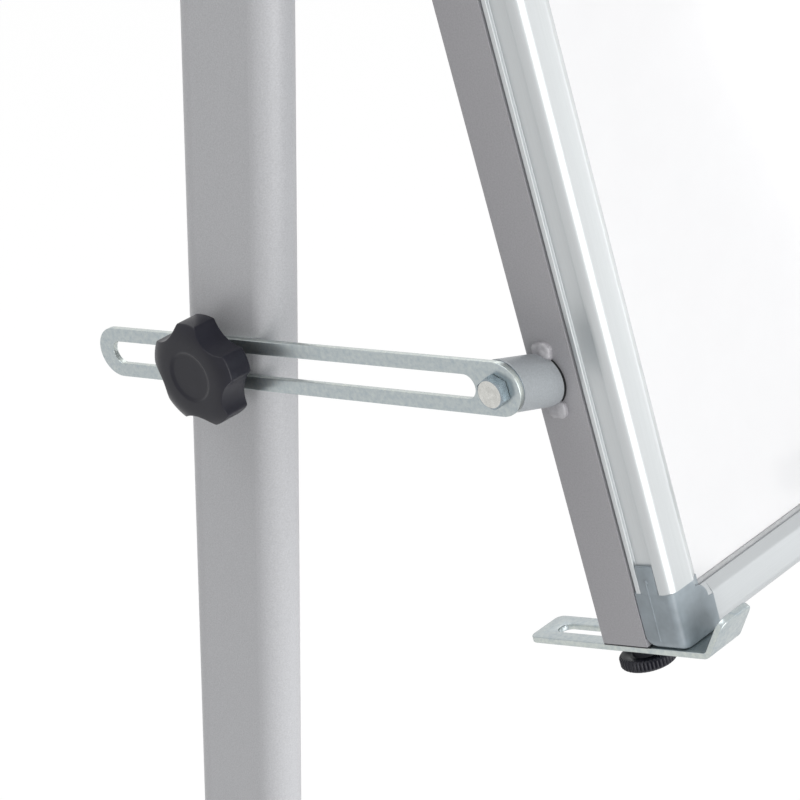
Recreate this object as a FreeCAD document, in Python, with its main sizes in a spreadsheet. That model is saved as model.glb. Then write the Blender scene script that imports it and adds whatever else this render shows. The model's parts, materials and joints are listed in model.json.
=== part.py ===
import FreeCAD, Part
import math
import os
import re
import Sketcher

# Flipchart easel, in millimetres: an H-shaped castor stand of two masts, and a framed writing
# board that tilts between them and is held by two slotted links with star knobs.
# Origin: on the floor, in the middle of the feet.  X runs along the board's width, the board
# faces -Y and +Z is up.

DRIVING = [
    # board and its aluminium frame
    ("board_width", 700), ("board_height", 1000), ("frame_depth", 21), ("frame_outer_radius", 4),
    ("rail_face", 16.6), ("rail_shoulder", 6.3), ("shoulder_drop", 3.8), ("rail_wall", 1.5),
    ("rail_lip", 4), ("rail_bead", 7), ("panel_drop", 5), ("channel_depth", 1.8), ("panel_inset", 12.3),
    ("corner_reach", 27), ("corner_tab", 13), ("corner_leg", 24),
    ("leg_clearance", 0.1), ("sheet_steel", 0.5),
    # carrier tubes behind the board
    ("tube_width", 25), ("tube_depth", 25), ("tube_wall", 1.5), ("tube_radius", 1.8),
    ("tube_below_pivot", 133.4), ("plug_flange", 0.8), ("plug_length", 28), ("plug_clearance", 0.1),
    # stand
    ("hinge_height", 1520), ("mast_depth", 60), ("mast_width", 25), ("mast_wall", 1.5),
    ("mast_above_hinge", 45), ("hinge_gap", 0.5), ("foot_length", 684), ("foot_width", 50),
    ("foot_height", 30), ("foot_wall", 2), ("foot_radius", 4), ("socket_height", 60),
    ("socket_wall", 2.5), ("socket_gap", 0.3), ("socket_bolt_spacing", 24), ("cap_plate", 3),
    ("cap_plug", 12),
    ("bar_height", 40), ("bar_depth", 25), ("bar_wall", 2), ("bar_plate", 4),
    ("upper_bar_height", 1310), ("lower_bar_height", 240), ("bar_bolt_spacing", 20),
    # tilt links
    ("tilt_angle", 21.18), ("hinge_to_pivot", 471.2), ("hinge_ahead", 7.3),
    ("tube_behind_pivot", 5.7),
    ("link_width", 25), ("link_thickness", 3), ("link_reach", 256.5), ("slot_start", 12.6),
    ("slot_end", 246.9), ("slot_width", 11.4), ("slide_gap", 0.1), ("stub_diameter", 23.8),
    ("ring_thickness", 1.2), ("stud_height", 1028.9), ("stud_above_slot_line", 1),
    ("stub_drop", 7), ("stub_lead", 1), ("weld_length", 11.3), ("weld_front", 10.3), ("weld_height", 6),
    ("weld_width", 5.5), ("weld_round", 2.2),
    # fasteners
    ("bolt_diameter", 8), ("bolt_flats", 13), ("bolt_head", 5.3), ("bolt_length", 40),
    ("nut_thickness", 8), ("bolt_clearance", 0.05), ("screw_diameter", 5), ("screw_head", 9),
    ("screw_head_height", 3), ("insert_diameter", 9), ("insert_length", 14),
    ("hinge_bolt_length", 61), ("link_bolt_length", 27), ("screw_length", 27),
    ("screw_inset", 7), ("lower_screw_height", 250), ("upper_screw_height", 700),
    # star knobs
    ("knob_diameter", 51), ("knob_height", 15.8), ("knob_crown", 2.8), ("knob_lobes", 5),
    ("knob_turned", -26), ("knob_valley", 20.4),
    ("scallop_radius", 17), ("knob_hub", 26), ("knob_hub_height", 3.3), ("knob_recess", 25),
    ("recess_depth", 0.8), ("stud_diameter", 6), ("stud_length", 26), ("stud_in_knob", 8),
    ("washer_diameter", 20),
    ("washer_thickness", 1.5),
    # hooks under the board, with their thumb screws
    ("hook_thickness", 3), ("hook_tail", 51.7), ("hook_seat", 49.9), ("lip_length", 19.8),
    ("lip_lean", 54.9), ("hook_slot_back", 41.7), ("hook_slot_front", 21.3), ("hook_slot_width", 8.2),
    ("hook_tail_round", 4), ("lip_round", 5), ("bend_radius", 3), ("thumb_diameter", 26),
    ("thumb_thickness", 5.5), ("thumb_round", 0.7), ("thumb_hub", 13), ("thumb_hub_height", 4.5),
    ("thumb_stud_reach", 18), ("hook_width", 23),
    # pen tray and paper holder
    ("tray_length", 360), ("tray_depth", 55), ("tray_wall", 1.5), ("tray_back", 16),
    ("tray_lip", 14), ("tray_end_thickness", 2), ("track_inset", 50), ("track_height", 20),
    ("track_thickness", 10), ("track_slot", 6), ("track_cavity", 10), ("track_lips", 3),
    ("cavity_depth", 3.6), ("slide_clearance", 0.15), ("peg_diameter", 18), ("peg_height", 22),
    ("peg_collar", 5.5), ("peg_pin", 9),
    ("peg_spread", 360), ("clamp_height", 28), ("clamp_thickness", 6),
    ("clamp_pin", 3), ("clamp_gap", 0.4), ("lug_thickness", 3),
    # castors
    ("castor_inset", 62), ("castor_height", 68), ("wheel_diameter", 50), ("wheel_width", 12.5),
    ("castor_web", 15), ("web_gap", 0.5), ("web_diameter", 33), ("rib_width", 20),
    ("tyre_round", 3), ("dish_diameter", 30), ("dish_depth", 2), ("castor_trail", 18),
    ("axle_diameter", 6),
    ("hood_wall", 2.8), ("hood_gap", 2), ("boss_diameter", 26), ("boss_height", 20),
    ("stem_diameter", 10), ("stem_in_boss", 16), ("stem_in_foot", 15), ("stem_nut", 18),
    ("stem_nut_height", 15), ("boss_gap", 0.4), ("pedal_width", 18),
    ("pedal_length", 20), ("pedal_thickness", 3.5), ("pedal_hub", 8), ("pedal_pin", 4),
    ("ear_thickness", 3), ("ear_diameter", 11), ("pedal_angle", 40),
]

# Sizes that follow from the driving ones.
DERIVED = {
    # how far a cutter reaches past a face, and a fused solid into its neighbour
    "spare": "1",
    "board_half": "board_width / 2",
    "frame_back": "tube_depth - tube_behind_pivot",
    "frame_front": "frame_back + frame_depth",
    "panel_front": "frame_front - panel_drop",
    "panel_back": "frame_back + rail_wall",
    "rail_width": "rail_face + rail_shoulder",
    "board_bottom": "-tube_below_pivot - plug_flange",
    "board_top": "board_bottom + board_height",
    "tube_middle": "frame_back - tube_depth / 2",
    "tube_x": "board_half - tube_width / 2",
    "mast_x": "board_half + hinge_gap + mast_width / 2",
    "mast_inner": "board_half + hinge_gap",
    "mast_outer": "mast_inner + mast_width",
    "mast_top": "hinge_height + mast_above_hinge",
    "link_inner": "mast_outer + slide_gap",
    "link_outer": "link_inner + link_thickness",
    "stub_end": "link_inner - ring_thickness",
    "foot_top": "castor_height + foot_height",
    "castor_spread": "foot_length - 2 * castor_inset",
    "washer_outer": "link_outer + slide_gap + washer_thickness",
    "hook_top": "board_bottom - slide_gap",
    "hood_inner": "wheel_diameter / 2 + hood_gap",
    "hood_outer": "hood_inner + hood_wall",
    "wheel_inner": "castor_web / 2 + web_gap",
    "wheel_outer": "wheel_inner + wheel_width",
    "track_length": "board_width - 2 * track_inset",
    "track_bottom": "board_top - track_height",
    "clamp_axis": "board_top - rail_width - clamp_thickness",
    "clamp_middle": "panel_front + clamp_gap + clamp_thickness / 2",
}

LEFT, RIGHT = -1, 1
SIDES = (("left", LEFT), ("right", RIGHT))
FRONT, REAR = -1, 1
X_AXIS, Y_AXIS, Z_AXIS = FreeCAD.Vector(1, 0, 0), FreeCAD.Vector(0, 1, 0), FreeCAD.Vector(0, 0, 1)

doc = FreeCAD.newDocument("flipchart_easel")
sheet = doc.addObject("Spreadsheet::Sheet", "Sizes")
for row, (alias, number) in enumerate(DRIVING, start=1):
    sheet.set("A%d" % row, alias.replace("_", " "))
    sheet.set("B%d" % row, str(number))
    sheet.setAlias("B%d" % row, alias)
doc.recompute()
ALIASES = {alias for alias, number in DRIVING}


# ---------------------------------------------------------------- sizes and places

def tie(text):
    """Turn plain size names into an expression on the sheet."""
    def word(match):
        name = match.group(0)
        if name in DERIVED:
            return "(%s)" % tie(DERIVED[name])
        return "Sizes." + name if name in ALIASES else name
    return re.sub(r"[A-Za-z_][A-Za-z_0-9]*", word, str(text))


def size(text):
    """The value in millimetres (or degrees) of a size or of a sum of sizes."""
    return float(sheet.evalExpression(tie(text)))


def bind(thing, **sizes):
    for name, text in sizes.items():
        thing.setExpression(name, tie(text))


def place(x=0, y=0, z=0, axis=Z_AXIS, angle=0):
    base = FreeCAD.Vector(size(x), size(y), size(z))
    return FreeCAD.Placement(base, FreeCAD.Rotation(axis, size(angle)))


def pivot_point():
    """Axis of the links' front bolts: Y and Z, from the hinge and the tilt."""
    tilt = math.radians(size("tilt_angle"))
    along, across = size("hinge_to_pivot"), size("hinge_ahead")
    back = along * math.sin(tilt) - across * math.cos(tilt)
    down = along * math.cos(tilt) + across * math.sin(tilt)
    return -back, size("hinge_height") - down


def link_angle():
    """Slope of the links below the horizontal, from the pivot to the stud in the mast."""
    pivot_y, pivot_z = pivot_point()
    reach = math.hypot(pivot_y, pivot_z - size("stud_height"))
    fall = math.degrees(math.atan2(pivot_z - size("stud_height"), -pivot_y))
    return fall + math.degrees(math.asin(size("stud_above_slot_line") / reach))


PIVOT_Y, PIVOT_Z = pivot_point()
FLOOR = FreeCAD.Placement()
# On the board: X along its width, -Y out of its face, Z up along the carrier tubes.
BOARD = place(0, PIVOT_Y, PIVOT_Z, X_AXIS, -size("tilt_angle"))
# On a link: Y along the bar to the rear, Z square to its edge.
LINK = place(0, PIVOT_Y, PIVOT_Z, X_AXIS, -link_angle())


# ---------------------------------------------------------------- solids from primitives

def box(label, x, y, z):
    """Box between two corners, each of x, y and z given as (low, high)."""
    solid = doc.addObject("Part::Box", label)
    bind(solid, Length="(%s) - (%s)" % (x[1], x[0]), Width="(%s) - (%s)" % (y[1], y[0]),
         Height="(%s) - (%s)" % (z[1], z[0]))
    solid.Placement = place(x[0], y[0], z[0])
    return solid


def across(half):
    """The two ends of a run centred on zero."""
    return "-(%s)" % half, half


def outward(side, near_end, far_end):
    """The two ends, in order along X, of a run that leads outwards on one side."""
    if side == RIGHT:
        return near_end, far_end
    return "-(%s)" % far_end, "-(%s)" % near_end


def cylinder(label, radius, start, end, axis="z", at=(0, 0)):
    """Cylinder from start to end along an axis; at gives its other two coordinates."""
    solid = doc.addObject("Part::Cylinder", label)
    bind(solid, Radius=radius, Height="(%s) - (%s)" % (end, start))
    if axis == "z":
        solid.Placement = place(at[0], at[1], start)
    elif axis == "x":
        solid.Placement = place(start, at[0], at[1], Y_AXIS, 90)
    else:
        solid.Placement = place(at[0], start, at[1], X_AXIS, -90)
    return solid


def prism(label, flats, start, end, at):
    """Hexagon along X between two places, with its centre at (y, z)."""
    solid = doc.addObject("Part::Prism", label)
    solid.Polygon = 6
    bind(solid, Circumradius="(%s) / sqrt(3)" % flats, Height="(%s) - (%s)" % (end, start))
    solid.Placement = place(start, at[0], at[1], Y_AXIS, 90)
    return solid


def fuse(label, *solids):
    joined = doc.addObject("Part::MultiFuse", label)
    joined.Shapes = list(solids)
    joined.Refine = True
    return joined


def cut(label, base, *tools):
    tool = tools[0] if len(tools) == 1 else fuse(label + "_cutters", *tools)
    rest = doc.addObject("Part::Cut", label)
    rest.Base = base
    rest.Tool = tool
    rest.Refine = True
    return rest


def common(label, *solids):
    shared = doc.addObject("Part::MultiCommon", label)
    shared.Shapes = list(solids)
    return shared


def rounded(label, base, radius, chosen):
    """Fillet the edges of base that chosen(edge) picks."""
    doc.recompute()
    smooth = doc.addObject("Part::Fillet", label)
    smooth.Base = base
    value = size(radius)
    picked = [i for i, edge in enumerate(base.Shape.Edges, start=1) if chosen(edge)]
    smooth.Edges = [(i, value, value) for i in picked]
    return smooth


def stadium(label, length, width, start, end, centre=("0", "0")):
    """Flat oval bar of the given length along Y, standing from start to end along Z."""
    x, y = centre
    half = "(%s) / 2" % width
    run = "((%s) - (%s)) / 2" % (length, width)
    middle = box(label + "_middle", ("(%s) - %s" % (x, half), "(%s) + %s" % (x, half)),
                 ("(%s) - %s" % (y, run), "(%s) + %s" % (y, run)), (start, end))
    ends = [cylinder(label + "_end", half, start, end, at=(x, "(%s) %s %s" % (y, sign, run)))
            for sign in "+-"]
    return fuse(label, middle, *ends)


def group(label, *sets):
    """Separate copies of small pieces kept as one sub-part, each set a master and its places."""
    doc.recompute()
    copies = []
    for master, places in sets:
        for spot in places:
            solid = master.Shape.copy()
            solid.Placement = spot.multiply(solid.Placement)
            copies.append(solid)
    piece = doc.addObject("Part::Feature", label)
    piece.Shape = Part.Compound(copies)
    return piece


# ---------------------------------------------------------------- PartDesign helpers

def plane(body, role):
    return next(item for item in body.Origin.OriginFeatures if item.Role == role)


def sketch_on(body, role, name, lift="0"):
    """Sketch on one of the body's origin planes, lifted off it along its normal."""
    sketch = body.newObject("Sketcher::SketchObject", name)
    sketch.AttachmentSupport = [(plane(body, role), "")]
    sketch.MapMode = "FlatFace"
    sketch.setExpression("AttachmentOffset.Base.z", tie(lift))
    return sketch


def fix(sketch, kind, geometry, vertex, text):
    """Hold a point's distance from the sketch origin at a size of the sheet."""
    number = size(text)
    index = sketch.addConstraint(Sketcher.Constraint(kind, -1, 1, geometry, vertex, number))
    sketch.setExpression("Constraints[%d]" % index, tie(text))


def outline(sketch, corners):
    """Closed outline of straight runs, each corner held by the sheet."""
    spots = [FreeCAD.Vector(size(x), size(y), 0) for x, y in corners]
    first = sketch.GeometryCount
    count = len(spots)
    for i in range(count):
        sketch.addGeometry(Part.LineSegment(spots[i], spots[(i + 1) % count]))
    for i in range(count):
        follower = first + (i + 1) % count
        sketch.addConstraint(Sketcher.Constraint("Coincident", first + i, 2, follower, 1))
    for i, (x, y) in enumerate(corners):
        fix(sketch, "DistanceX", first + i, 1, x)
        fix(sketch, "DistanceY", first + i, 1, y)


def rectangle(sketch, x, y):
    outline(sketch, [(x[0], y[0]), (x[1], y[0]), (x[1], y[1]), (x[0], y[1])])


def circle(sketch, radius, x="0", y="0"):
    centre = FreeCAD.Vector(size(x), size(y), 0)
    index = sketch.addGeometry(Part.Circle(centre, FreeCAD.Vector(0, 0, 1), size(radius)))
    rule = sketch.addConstraint(Sketcher.Constraint("Radius", index, size(radius)))
    sketch.setExpression("Constraints[%d]" % rule, tie(radius))
    fix(sketch, "DistanceX", index, 3, x)
    fix(sketch, "DistanceY", index, 3, y)


def oval(sketch, low, high, width, level=False):
    """Slot outline from low to high over its round ends, along the sketch's Y, or X if level."""
    half = "(%s) / 2" % width
    ends = ("(%s) + %s" % (low, half), "(%s) - %s" % (high, half))
    radius, turn = size(half), 0 if level else math.pi / 2

    def spot(along, beside):
        return FreeCAD.Vector(along, beside, 0) if level else FreeCAD.Vector(-beside, along, 0)

    first = sketch.GeometryCount
    for end, way in zip(ends, (math.pi, 0)):
        ring = Part.Circle(spot(size(end), 0), Z_AXIS, radius)
        start = turn + way - math.pi / 2
        sketch.addGeometry(Part.ArcOfCircle(ring, start, start + math.pi))
    for beside in (radius, -radius):
        sketch.addGeometry(Part.LineSegment(*[spot(size(end), beside) for end in ends]))
    low_arc, high_arc, one_line, other_line = range(first, first + 4)
    for line, low_end, high_end in ((one_line, 1, 2), (other_line, 2, 1)):
        sketch.addConstraint(Sketcher.Constraint("Tangent", line, 1, low_arc, low_end))
        sketch.addConstraint(Sketcher.Constraint("Tangent", line, 2, high_arc, high_end))
    rule = sketch.addConstraint(Sketcher.Constraint("Radius", low_arc, radius))
    sketch.setExpression("Constraints[%d]" % rule, tie(half))
    sketch.addConstraint(Sketcher.Constraint("Equal", low_arc, high_arc))
    for arc, end in zip((low_arc, high_arc), ends):
        fix(sketch, "DistanceX", arc, 3, end if level else "0")
        fix(sketch, "DistanceY", arc, 3, "0" if level else end)


def pad(body, sketch, length, middle=False, reverse=False):
    feature = body.newObject("PartDesign::Pad", sketch.Name + "_pad")
    feature.Profile = sketch
    bind(feature, Length=length)
    feature.Midplane = middle
    feature.Reversed = reverse
    doc.recompute()
    return feature


def pocket(body, sketch, length=None, middle=False, reverse=False):
    """Cut a sketch into the body; without a length it goes right through both ways."""
    before = body.Shape.Volume
    feature = body.newObject("PartDesign::Pocket", sketch.Name + "_pocket")
    feature.Profile = sketch
    if length is None:
        feature.Type = "ThroughAll"
        feature.Midplane = True
    else:
        bind(feature, Length=length)
        feature.Midplane = middle
        feature.Reversed = reverse
    doc.recompute()
    if not body.Shape.Volume < before:
        raise RuntimeError("%s cuts nothing" % feature.Name)
    return feature


def soften(body, radius, chosen):
    """Round the edges of the body's last feature that chosen(edge) picks."""
    doc.recompute()
    last = body.Tip
    names = ["Edge%d" % i for i, edge in enumerate(last.Shape.Edges, start=1) if chosen(edge)]
    feature = body.newObject("PartDesign::Fillet", body.Name + "_fillet")
    feature.Base = (last, names)
    bind(feature, Radius=radius)
    doc.recompute()
    return feature


def new_body(label):
    body = doc.addObject("PartDesign::Body", label)
    body.Label = label
    return body


def runs_along(axis):
    """Chooser of straight edges parallel to an axis."""
    def chosen(edge):
        if edge.Curve.TypeId != "Part::GeomLine":
            return False
        return abs(abs(edge.Curve.Direction.dot(axis)) - 1) < 1e-6
    return chosen


def is_rim(edge):
    """Chooser of a cylinder's two round edges."""
    return len(edge.Vertexes) == 1


def near(value, target):
    return abs(value - target) < 1e-4


# ---------------------------------------------------------------- shared small pieces

def hex_bolt(label, length):
    """Bolt along +X: its head lies before the origin and its shank after it."""
    head = prism(label + "_head", "bolt_flats", "-bolt_head", "0", (0, 0))
    shank = cylinder(label + "_shank", "bolt_diameter / 2", "-bolt_head / 2", length, "x")
    return fuse(label, head, shank)


def hex_nut(label):
    blank = prism(label + "_blank", "bolt_flats", "0", "nut_thickness", (0, 0))
    bore = cylinder(label + "_bore", "bolt_diameter / 2", "-spare", "nut_thickness + spare", "x")
    return cut(label, blank, bore)


def facing(side, x, y, z):
    """Place for a piece made along +X, so that it points from the side towards the middle."""
    return place("%d * (%s)" % (side, x), y, z, Z_AXIS, 0 if side == LEFT else 180)


NODES = {}


def keep(label, piece, frame=FLOOR, local=None):
    """Name a finished sub-part and put it in its place."""
    piece.Label = label
    spot = frame if local is None else frame.multiply(local)
    piece.Placement = spot
    NODES[label] = piece


# ---------------------------------------------------------------- stand

def mast(side_name, side):
    body = new_body("mast_" + side_name)
    section = sketch_on(body, "XY_Plane", body.Name + "_section")
    oval(section, "-mast_depth / 2", "mast_depth / 2", "mast_width")
    oval(section, "mast_wall - mast_depth / 2", "mast_depth / 2 - mast_wall",
         "mast_width - 2 * mast_wall")
    pad(body, section, "mast_top - foot_top")
    bolts = sketch_on(body, "YZ_Plane", body.Name + "_bolt_holes")
    circle(bolts, "bolt_diameter / 2 + bolt_clearance", "0", "hinge_height - foot_top")
    for height in bolt_heights():
        circle(bolts, "bolt_diameter / 2 + bolt_clearance", "0", "(%s) - foot_top" % height)
    pocket(body, bolts)
    seat = sketch_on(body, "YZ_Plane", body.Name + "_insert_hole")
    circle(seat, "insert_diameter / 2", "0", "stud_height - foot_top")
    pocket(body, seat, "mast_width", reverse=side == RIGHT)
    keep(body.Label, body, local=place("%d * mast_x" % side, 0, "foot_top"))


def cross_bolt_heights():
    bars = ("upper_bar_height", "lower_bar_height")
    return ["%s %s bar_bolt_spacing / 2" % (bar, sign) for bar in bars for sign in "+-"]


def socket_bolt_heights():
    return ["foot_top + (socket_height %s socket_bolt_spacing) / 2" % sign for sign in "-+"]


def bolt_heights():
    return cross_bolt_heights() + socket_bolt_heights()


def mast_caps():
    top = stadium("mast_cap_top", "mast_depth", "mast_width", "0", "cap_plate")
    plug = stadium("mast_cap_plug", "mast_depth - 2 * mast_wall", "mast_width - 2 * mast_wall",
                   "-cap_plug", "cap_plate / 2")
    cap = fuse("mast_cap", top, plug)
    spots = [place("%d * mast_x" % side, 0, "mast_top") for name, side in SIDES]
    keep("mast_caps", group("mast_caps", (cap, spots)))


def foot(side_name, side):
    """Rectangular tube with the mast's socket and the castors' nuts welded to it."""
    body = new_body("foot_" + side_name)
    half = "foot_width / 2"
    skin = sketch_on(body, "XZ_Plane", body.Name + "_section")
    rectangle(skin, ("-" + half, half), ("0", "foot_height"))
    pad(body, skin, "foot_length", middle=True)
    soften(body, "foot_radius", runs_along(Y_AXIS))
    hollow = sketch_on(body, "XZ_Plane", body.Name + "_hollow")
    rectangle(hollow, ("foot_wall - " + half, half + " - foot_wall"),
              ("foot_wall", "foot_height - foot_wall"))
    pocket(body, hollow)
    nuts = sketch_on(body, "XY_Plane", body.Name + "_nuts", "foot_wall / 2")
    holes = sketch_on(body, "XY_Plane", body.Name + "_stem_holes")
    for end in (FRONT, REAR):
        circle(nuts, "stem_nut / 2", "0", "%d * castor_spread / 2" % end)
        circle(holes, "stem_diameter / 2 + bolt_clearance", "0", "%d * castor_spread / 2" % end)
    pad(body, nuts, "stem_nut_height")
    pocket(body, holes, "stem_nut_height + foot_wall", reverse=True)
    socket = sketch_on(body, "XY_Plane", body.Name + "_socket", "foot_height")
    oval(socket, "-mast_depth / 2 - socket_gap - socket_wall",
         "mast_depth / 2 + socket_gap + socket_wall", "mast_width + 2 * (socket_gap + socket_wall)")
    oval(socket, "-mast_depth / 2 - socket_gap", "mast_depth / 2 + socket_gap",
         "mast_width + 2 * socket_gap")
    pad(body, socket, "socket_height")
    bolts = sketch_on(body, "YZ_Plane", body.Name + "_bolt_holes")
    for height in socket_bolt_heights():
        circle(bolts, "bolt_diameter / 2 + bolt_clearance", "0", "(%s) - castor_height" % height)
    pocket(body, bolts)
    keep(body.Label, body, local=place("%d * mast_x" % side, 0, "castor_height"))


def foot_caps():
    plate = box("foot_cap_plate", across("foot_width / 2"), ("0", "cap_plate"),
                ("0", "foot_height"))
    plate = rounded("foot_cap_rounded", plate, "foot_radius", runs_along(Y_AXIS))
    plug = box("foot_cap_plug", across("foot_width / 2 - foot_wall - plug_clearance"),
               ("-cap_plug", "cap_plate / 2"),
               ("foot_wall + plug_clearance", "foot_height - foot_wall - plug_clearance"))
    cap = fuse("foot_cap", plate, plug)
    spots = []
    for name, side in SIDES:
        x = "%d * mast_x" % side
        spots.append(place(x, "foot_length / 2", "castor_height"))
        spots.append(place(x, "-foot_length / 2", "castor_height", Z_AXIS, 180))
    keep("foot_end_caps", group("foot_end_caps", (cap, spots)))


def cross_bar(label, height):
    """Hollow bar between the masts, closed by the end plates that its bolts screw into."""
    body = new_body(label)
    skin = sketch_on(body, "YZ_Plane", label + "_section")
    rectangle(skin, ("-bar_depth / 2", "bar_depth / 2"), ("-bar_height / 2", "bar_height / 2"))
    pad(body, skin, "2 * mast_inner", middle=True)
    soften(body, "bar_wall", runs_along(X_AXIS))
    hollow = sketch_on(body, "YZ_Plane", label + "_hollow")
    rectangle(hollow, ("bar_wall - bar_depth / 2", "bar_depth / 2 - bar_wall"),
              ("bar_wall - bar_height / 2", "bar_height / 2 - bar_wall"))
    pocket(body, hollow, "2 * (mast_inner - bar_plate)", middle=True)
    bolts = sketch_on(body, "YZ_Plane", label + "_bolt_holes")
    for sign in "+-":
        circle(bolts, "bolt_diameter / 2 + bolt_clearance", "0", "%sbar_bolt_spacing / 2" % sign)
    pocket(body, bolts)
    keep(label, body, local=place(0, 0, height))


def frame_bolts():
    """Bolts of the cross bars, and bolts with nuts of the mast sockets."""
    bolt, nut = hex_bolt("frame_bolt", "bolt_length"), hex_nut("frame_nut")
    socket_face = "mast_outer + socket_gap + socket_wall"
    nut_face = "mast_inner - socket_gap - socket_wall"
    bolts, nuts = [], []
    for name, side in SIDES:
        bolts += [facing(side, "mast_outer", 0, height) for height in cross_bolt_heights()]
        bolts += [facing(side, socket_face, 0, height) for height in socket_bolt_heights()]
        nuts += [facing(side, nut_face, 0, height) for height in socket_bolt_heights()]
    keep("frame_bolts", group("frame_bolts", (bolt, bolts), (nut, nuts)))


def hinge_pieces():
    """Bolts, nuts and washers that the board turns on, through each mast and its tube."""
    bolt, nut = hex_bolt("hinge_bolt", "hinge_bolt_length"), hex_nut("hinge_nut")
    nut_face = "tube_x - tube_width / 2 - slide_gap"
    bolts = [facing(side, "mast_outer", 0, "hinge_height") for name, side in SIDES]
    nuts = [facing(side, nut_face, 0, "hinge_height") for name, side in SIDES]
    keep("hinge_bolts", group("hinge_bolts", (bolt, bolts), (nut, nuts)))
    ring = cylinder("hinge_ring", "tube_depth / 2 - spare", "0", "hinge_gap - slide_gap", "x")
    bore = cylinder("hinge_ring_bore", "bolt_diameter / 2 + bolt_clearance", "-spare",
                    "hinge_gap + spare", "x")
    washer = cut("hinge_washer", ring, bore)
    spots = [facing(side, "mast_inner", 0, "hinge_height") for name, side in SIDES]
    keep("hinge_washers", group("hinge_washers", (washer, spots)))


def stud_inserts():
    """Threaded inserts, flush in the masts' outer walls, that the star knobs screw into."""
    barrel = cylinder("insert_barrel", "insert_diameter / 2", "0", "insert_length", "x")
    bore = cylinder("insert_bore", "stud_diameter / 2 + bolt_clearance", "-spare",
                    "insert_length + spare", "x")
    insert = cut("stud_insert", barrel, bore)
    spots = [facing(side, "mast_outer", 0, "stud_height") for name, side in SIDES]
    keep("stud_inserts", group("stud_inserts", (insert, spots)))


# ---------------------------------------------------------------- castors

CORNERS = [(end_name + "_" + side_name, side, end)
           for end_name, end in (("front", FRONT), ("rear", REAR)) for side_name, side in SIDES]
AXLE = ("castor_trail", "wheel_diameter / 2")
PEDAL_REACH = "(hood_outer + pedal_hub / 2 + web_gap)"
PEDAL_AXIS = ("castor_trail + %s * cos(pedal_angle * 1deg)" % PEDAL_REACH,
              "wheel_diameter / 2 + %s * sin(pedal_angle * 1deg)" % PEDAL_REACH)


def castor_place(side, end):
    """Swivel axis on the floor; the wheel trails outwards, away from the easel's middle."""
    return place("%d * mast_x" % side, "%d * castor_spread / 2" % end, 0, Z_AXIS,
                 0 if end == REAR else 180)


def castor_stems():
    stem = cylinder("castor_stem", "stem_diameter / 2", "castor_height - boss_gap - stem_in_boss",
                    "castor_height + stem_in_foot")
    spots = [castor_place(side, end) for name, side, end in CORNERS]
    keep("castor_stems", group("castor_stems", (stem, spots)))


def castor_housing(name, side, end):
    """Hood over both wheels, the web between them and the boss that turns on the stem."""
    label = "castor_housing_" + name
    width = across("wheel_outer + hood_wall / 2")
    web = across("castor_web / 2")
    hood = cut(label + "_hood", cylinder(label + "_skin", "hood_outer", *width, "x", AXLE),
               cylinder(label + "_inside", "hood_inner", *width, "x", AXLE),
               box(label + "_open", width,
                   ("castor_trail - hood_outer", "castor_trail + hood_outer"),
                   ("wheel_diameter / 2 - hood_outer", "wheel_diameter / 2")))
    cheek = cylinder(label + "_cheek", "web_diameter / 2", *web, "x", AXLE)
    rib = box(label + "_rib", web, ("castor_trail - rib_width / 2", "castor_trail + rib_width / 2"),
              ("wheel_diameter / 2", "wheel_diameter / 2 + hood_inner + hood_wall / 4"))
    top = "castor_height - boss_gap"
    boss = cylinder(label + "_boss", "boss_diameter / 2", top + " - boss_height", top)
    solids = [hood, cheek, rib, boss]
    bores = [cylinder(label + "_axle_bore", "axle_diameter / 2 + bolt_clearance", *web, "x", AXLE),
             cylinder(label + "_stem_bore", "stem_diameter / 2 + bolt_clearance",
                      top + " - stem_in_boss - boss_gap", top)]
    for way in (LEFT, RIGHT):
        bores.append(cylinder(label + "_well", "hood_inner",
                              *outward(way, "castor_web / 2", "wheel_outer + hood_wall / 2"),
                              "x", AXLE))
    if end == FRONT:
        inner = "(pedal_width / 2 + web_gap)"
        outer = "(%s + ear_thickness)" % inner
        for low, high in ((inner, outer), ("-" + outer, "-" + inner)):
            solids.append(cylinder(label + "_ear", "ear_diameter / 2", low, high, "x", PEDAL_AXIS))
        bores.append(cylinder(label + "_pin_bore", "pedal_pin / 2 + bolt_clearance",
                              "-" + outer, outer, "x", PEDAL_AXIS))
    keep(label, cut(label, fuse(label + "_solid", *solids), *bores),
         castor_place(side, end))


def castor_wheels(name, side, end):
    """Two wheels pressed on the axle that turns in the housing's web."""
    label = "castor_wheels_" + name
    tyre = cylinder(label + "_tyre", "wheel_diameter / 2", "wheel_inner", "wheel_outer", "x")
    round_tyre = rounded(label + "_round", tyre, "tyre_round", is_rim)
    dish = cylinder(label + "_dish", "dish_diameter / 2", "wheel_outer - dish_depth",
                    "wheel_outer + spare", "x")
    bore = cylinder(label + "_bore", "axle_diameter / 2", "wheel_inner - spare",
                    "wheel_outer + spare", "x")
    wheel = cut(label + "_wheel", round_tyre, dish, bore)
    axle = cylinder(label + "_axle", "axle_diameter / 2", *across("wheel_outer - dish_depth"), "x")
    centre = place(0, *AXLE)
    turned = centre.multiply(FreeCAD.Placement(FreeCAD.Vector(), FreeCAD.Rotation(Z_AXIS, 180)))
    keep(label, group(label, (wheel, [centre, turned]), (axle, [centre])),
         castor_place(side, end))


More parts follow.
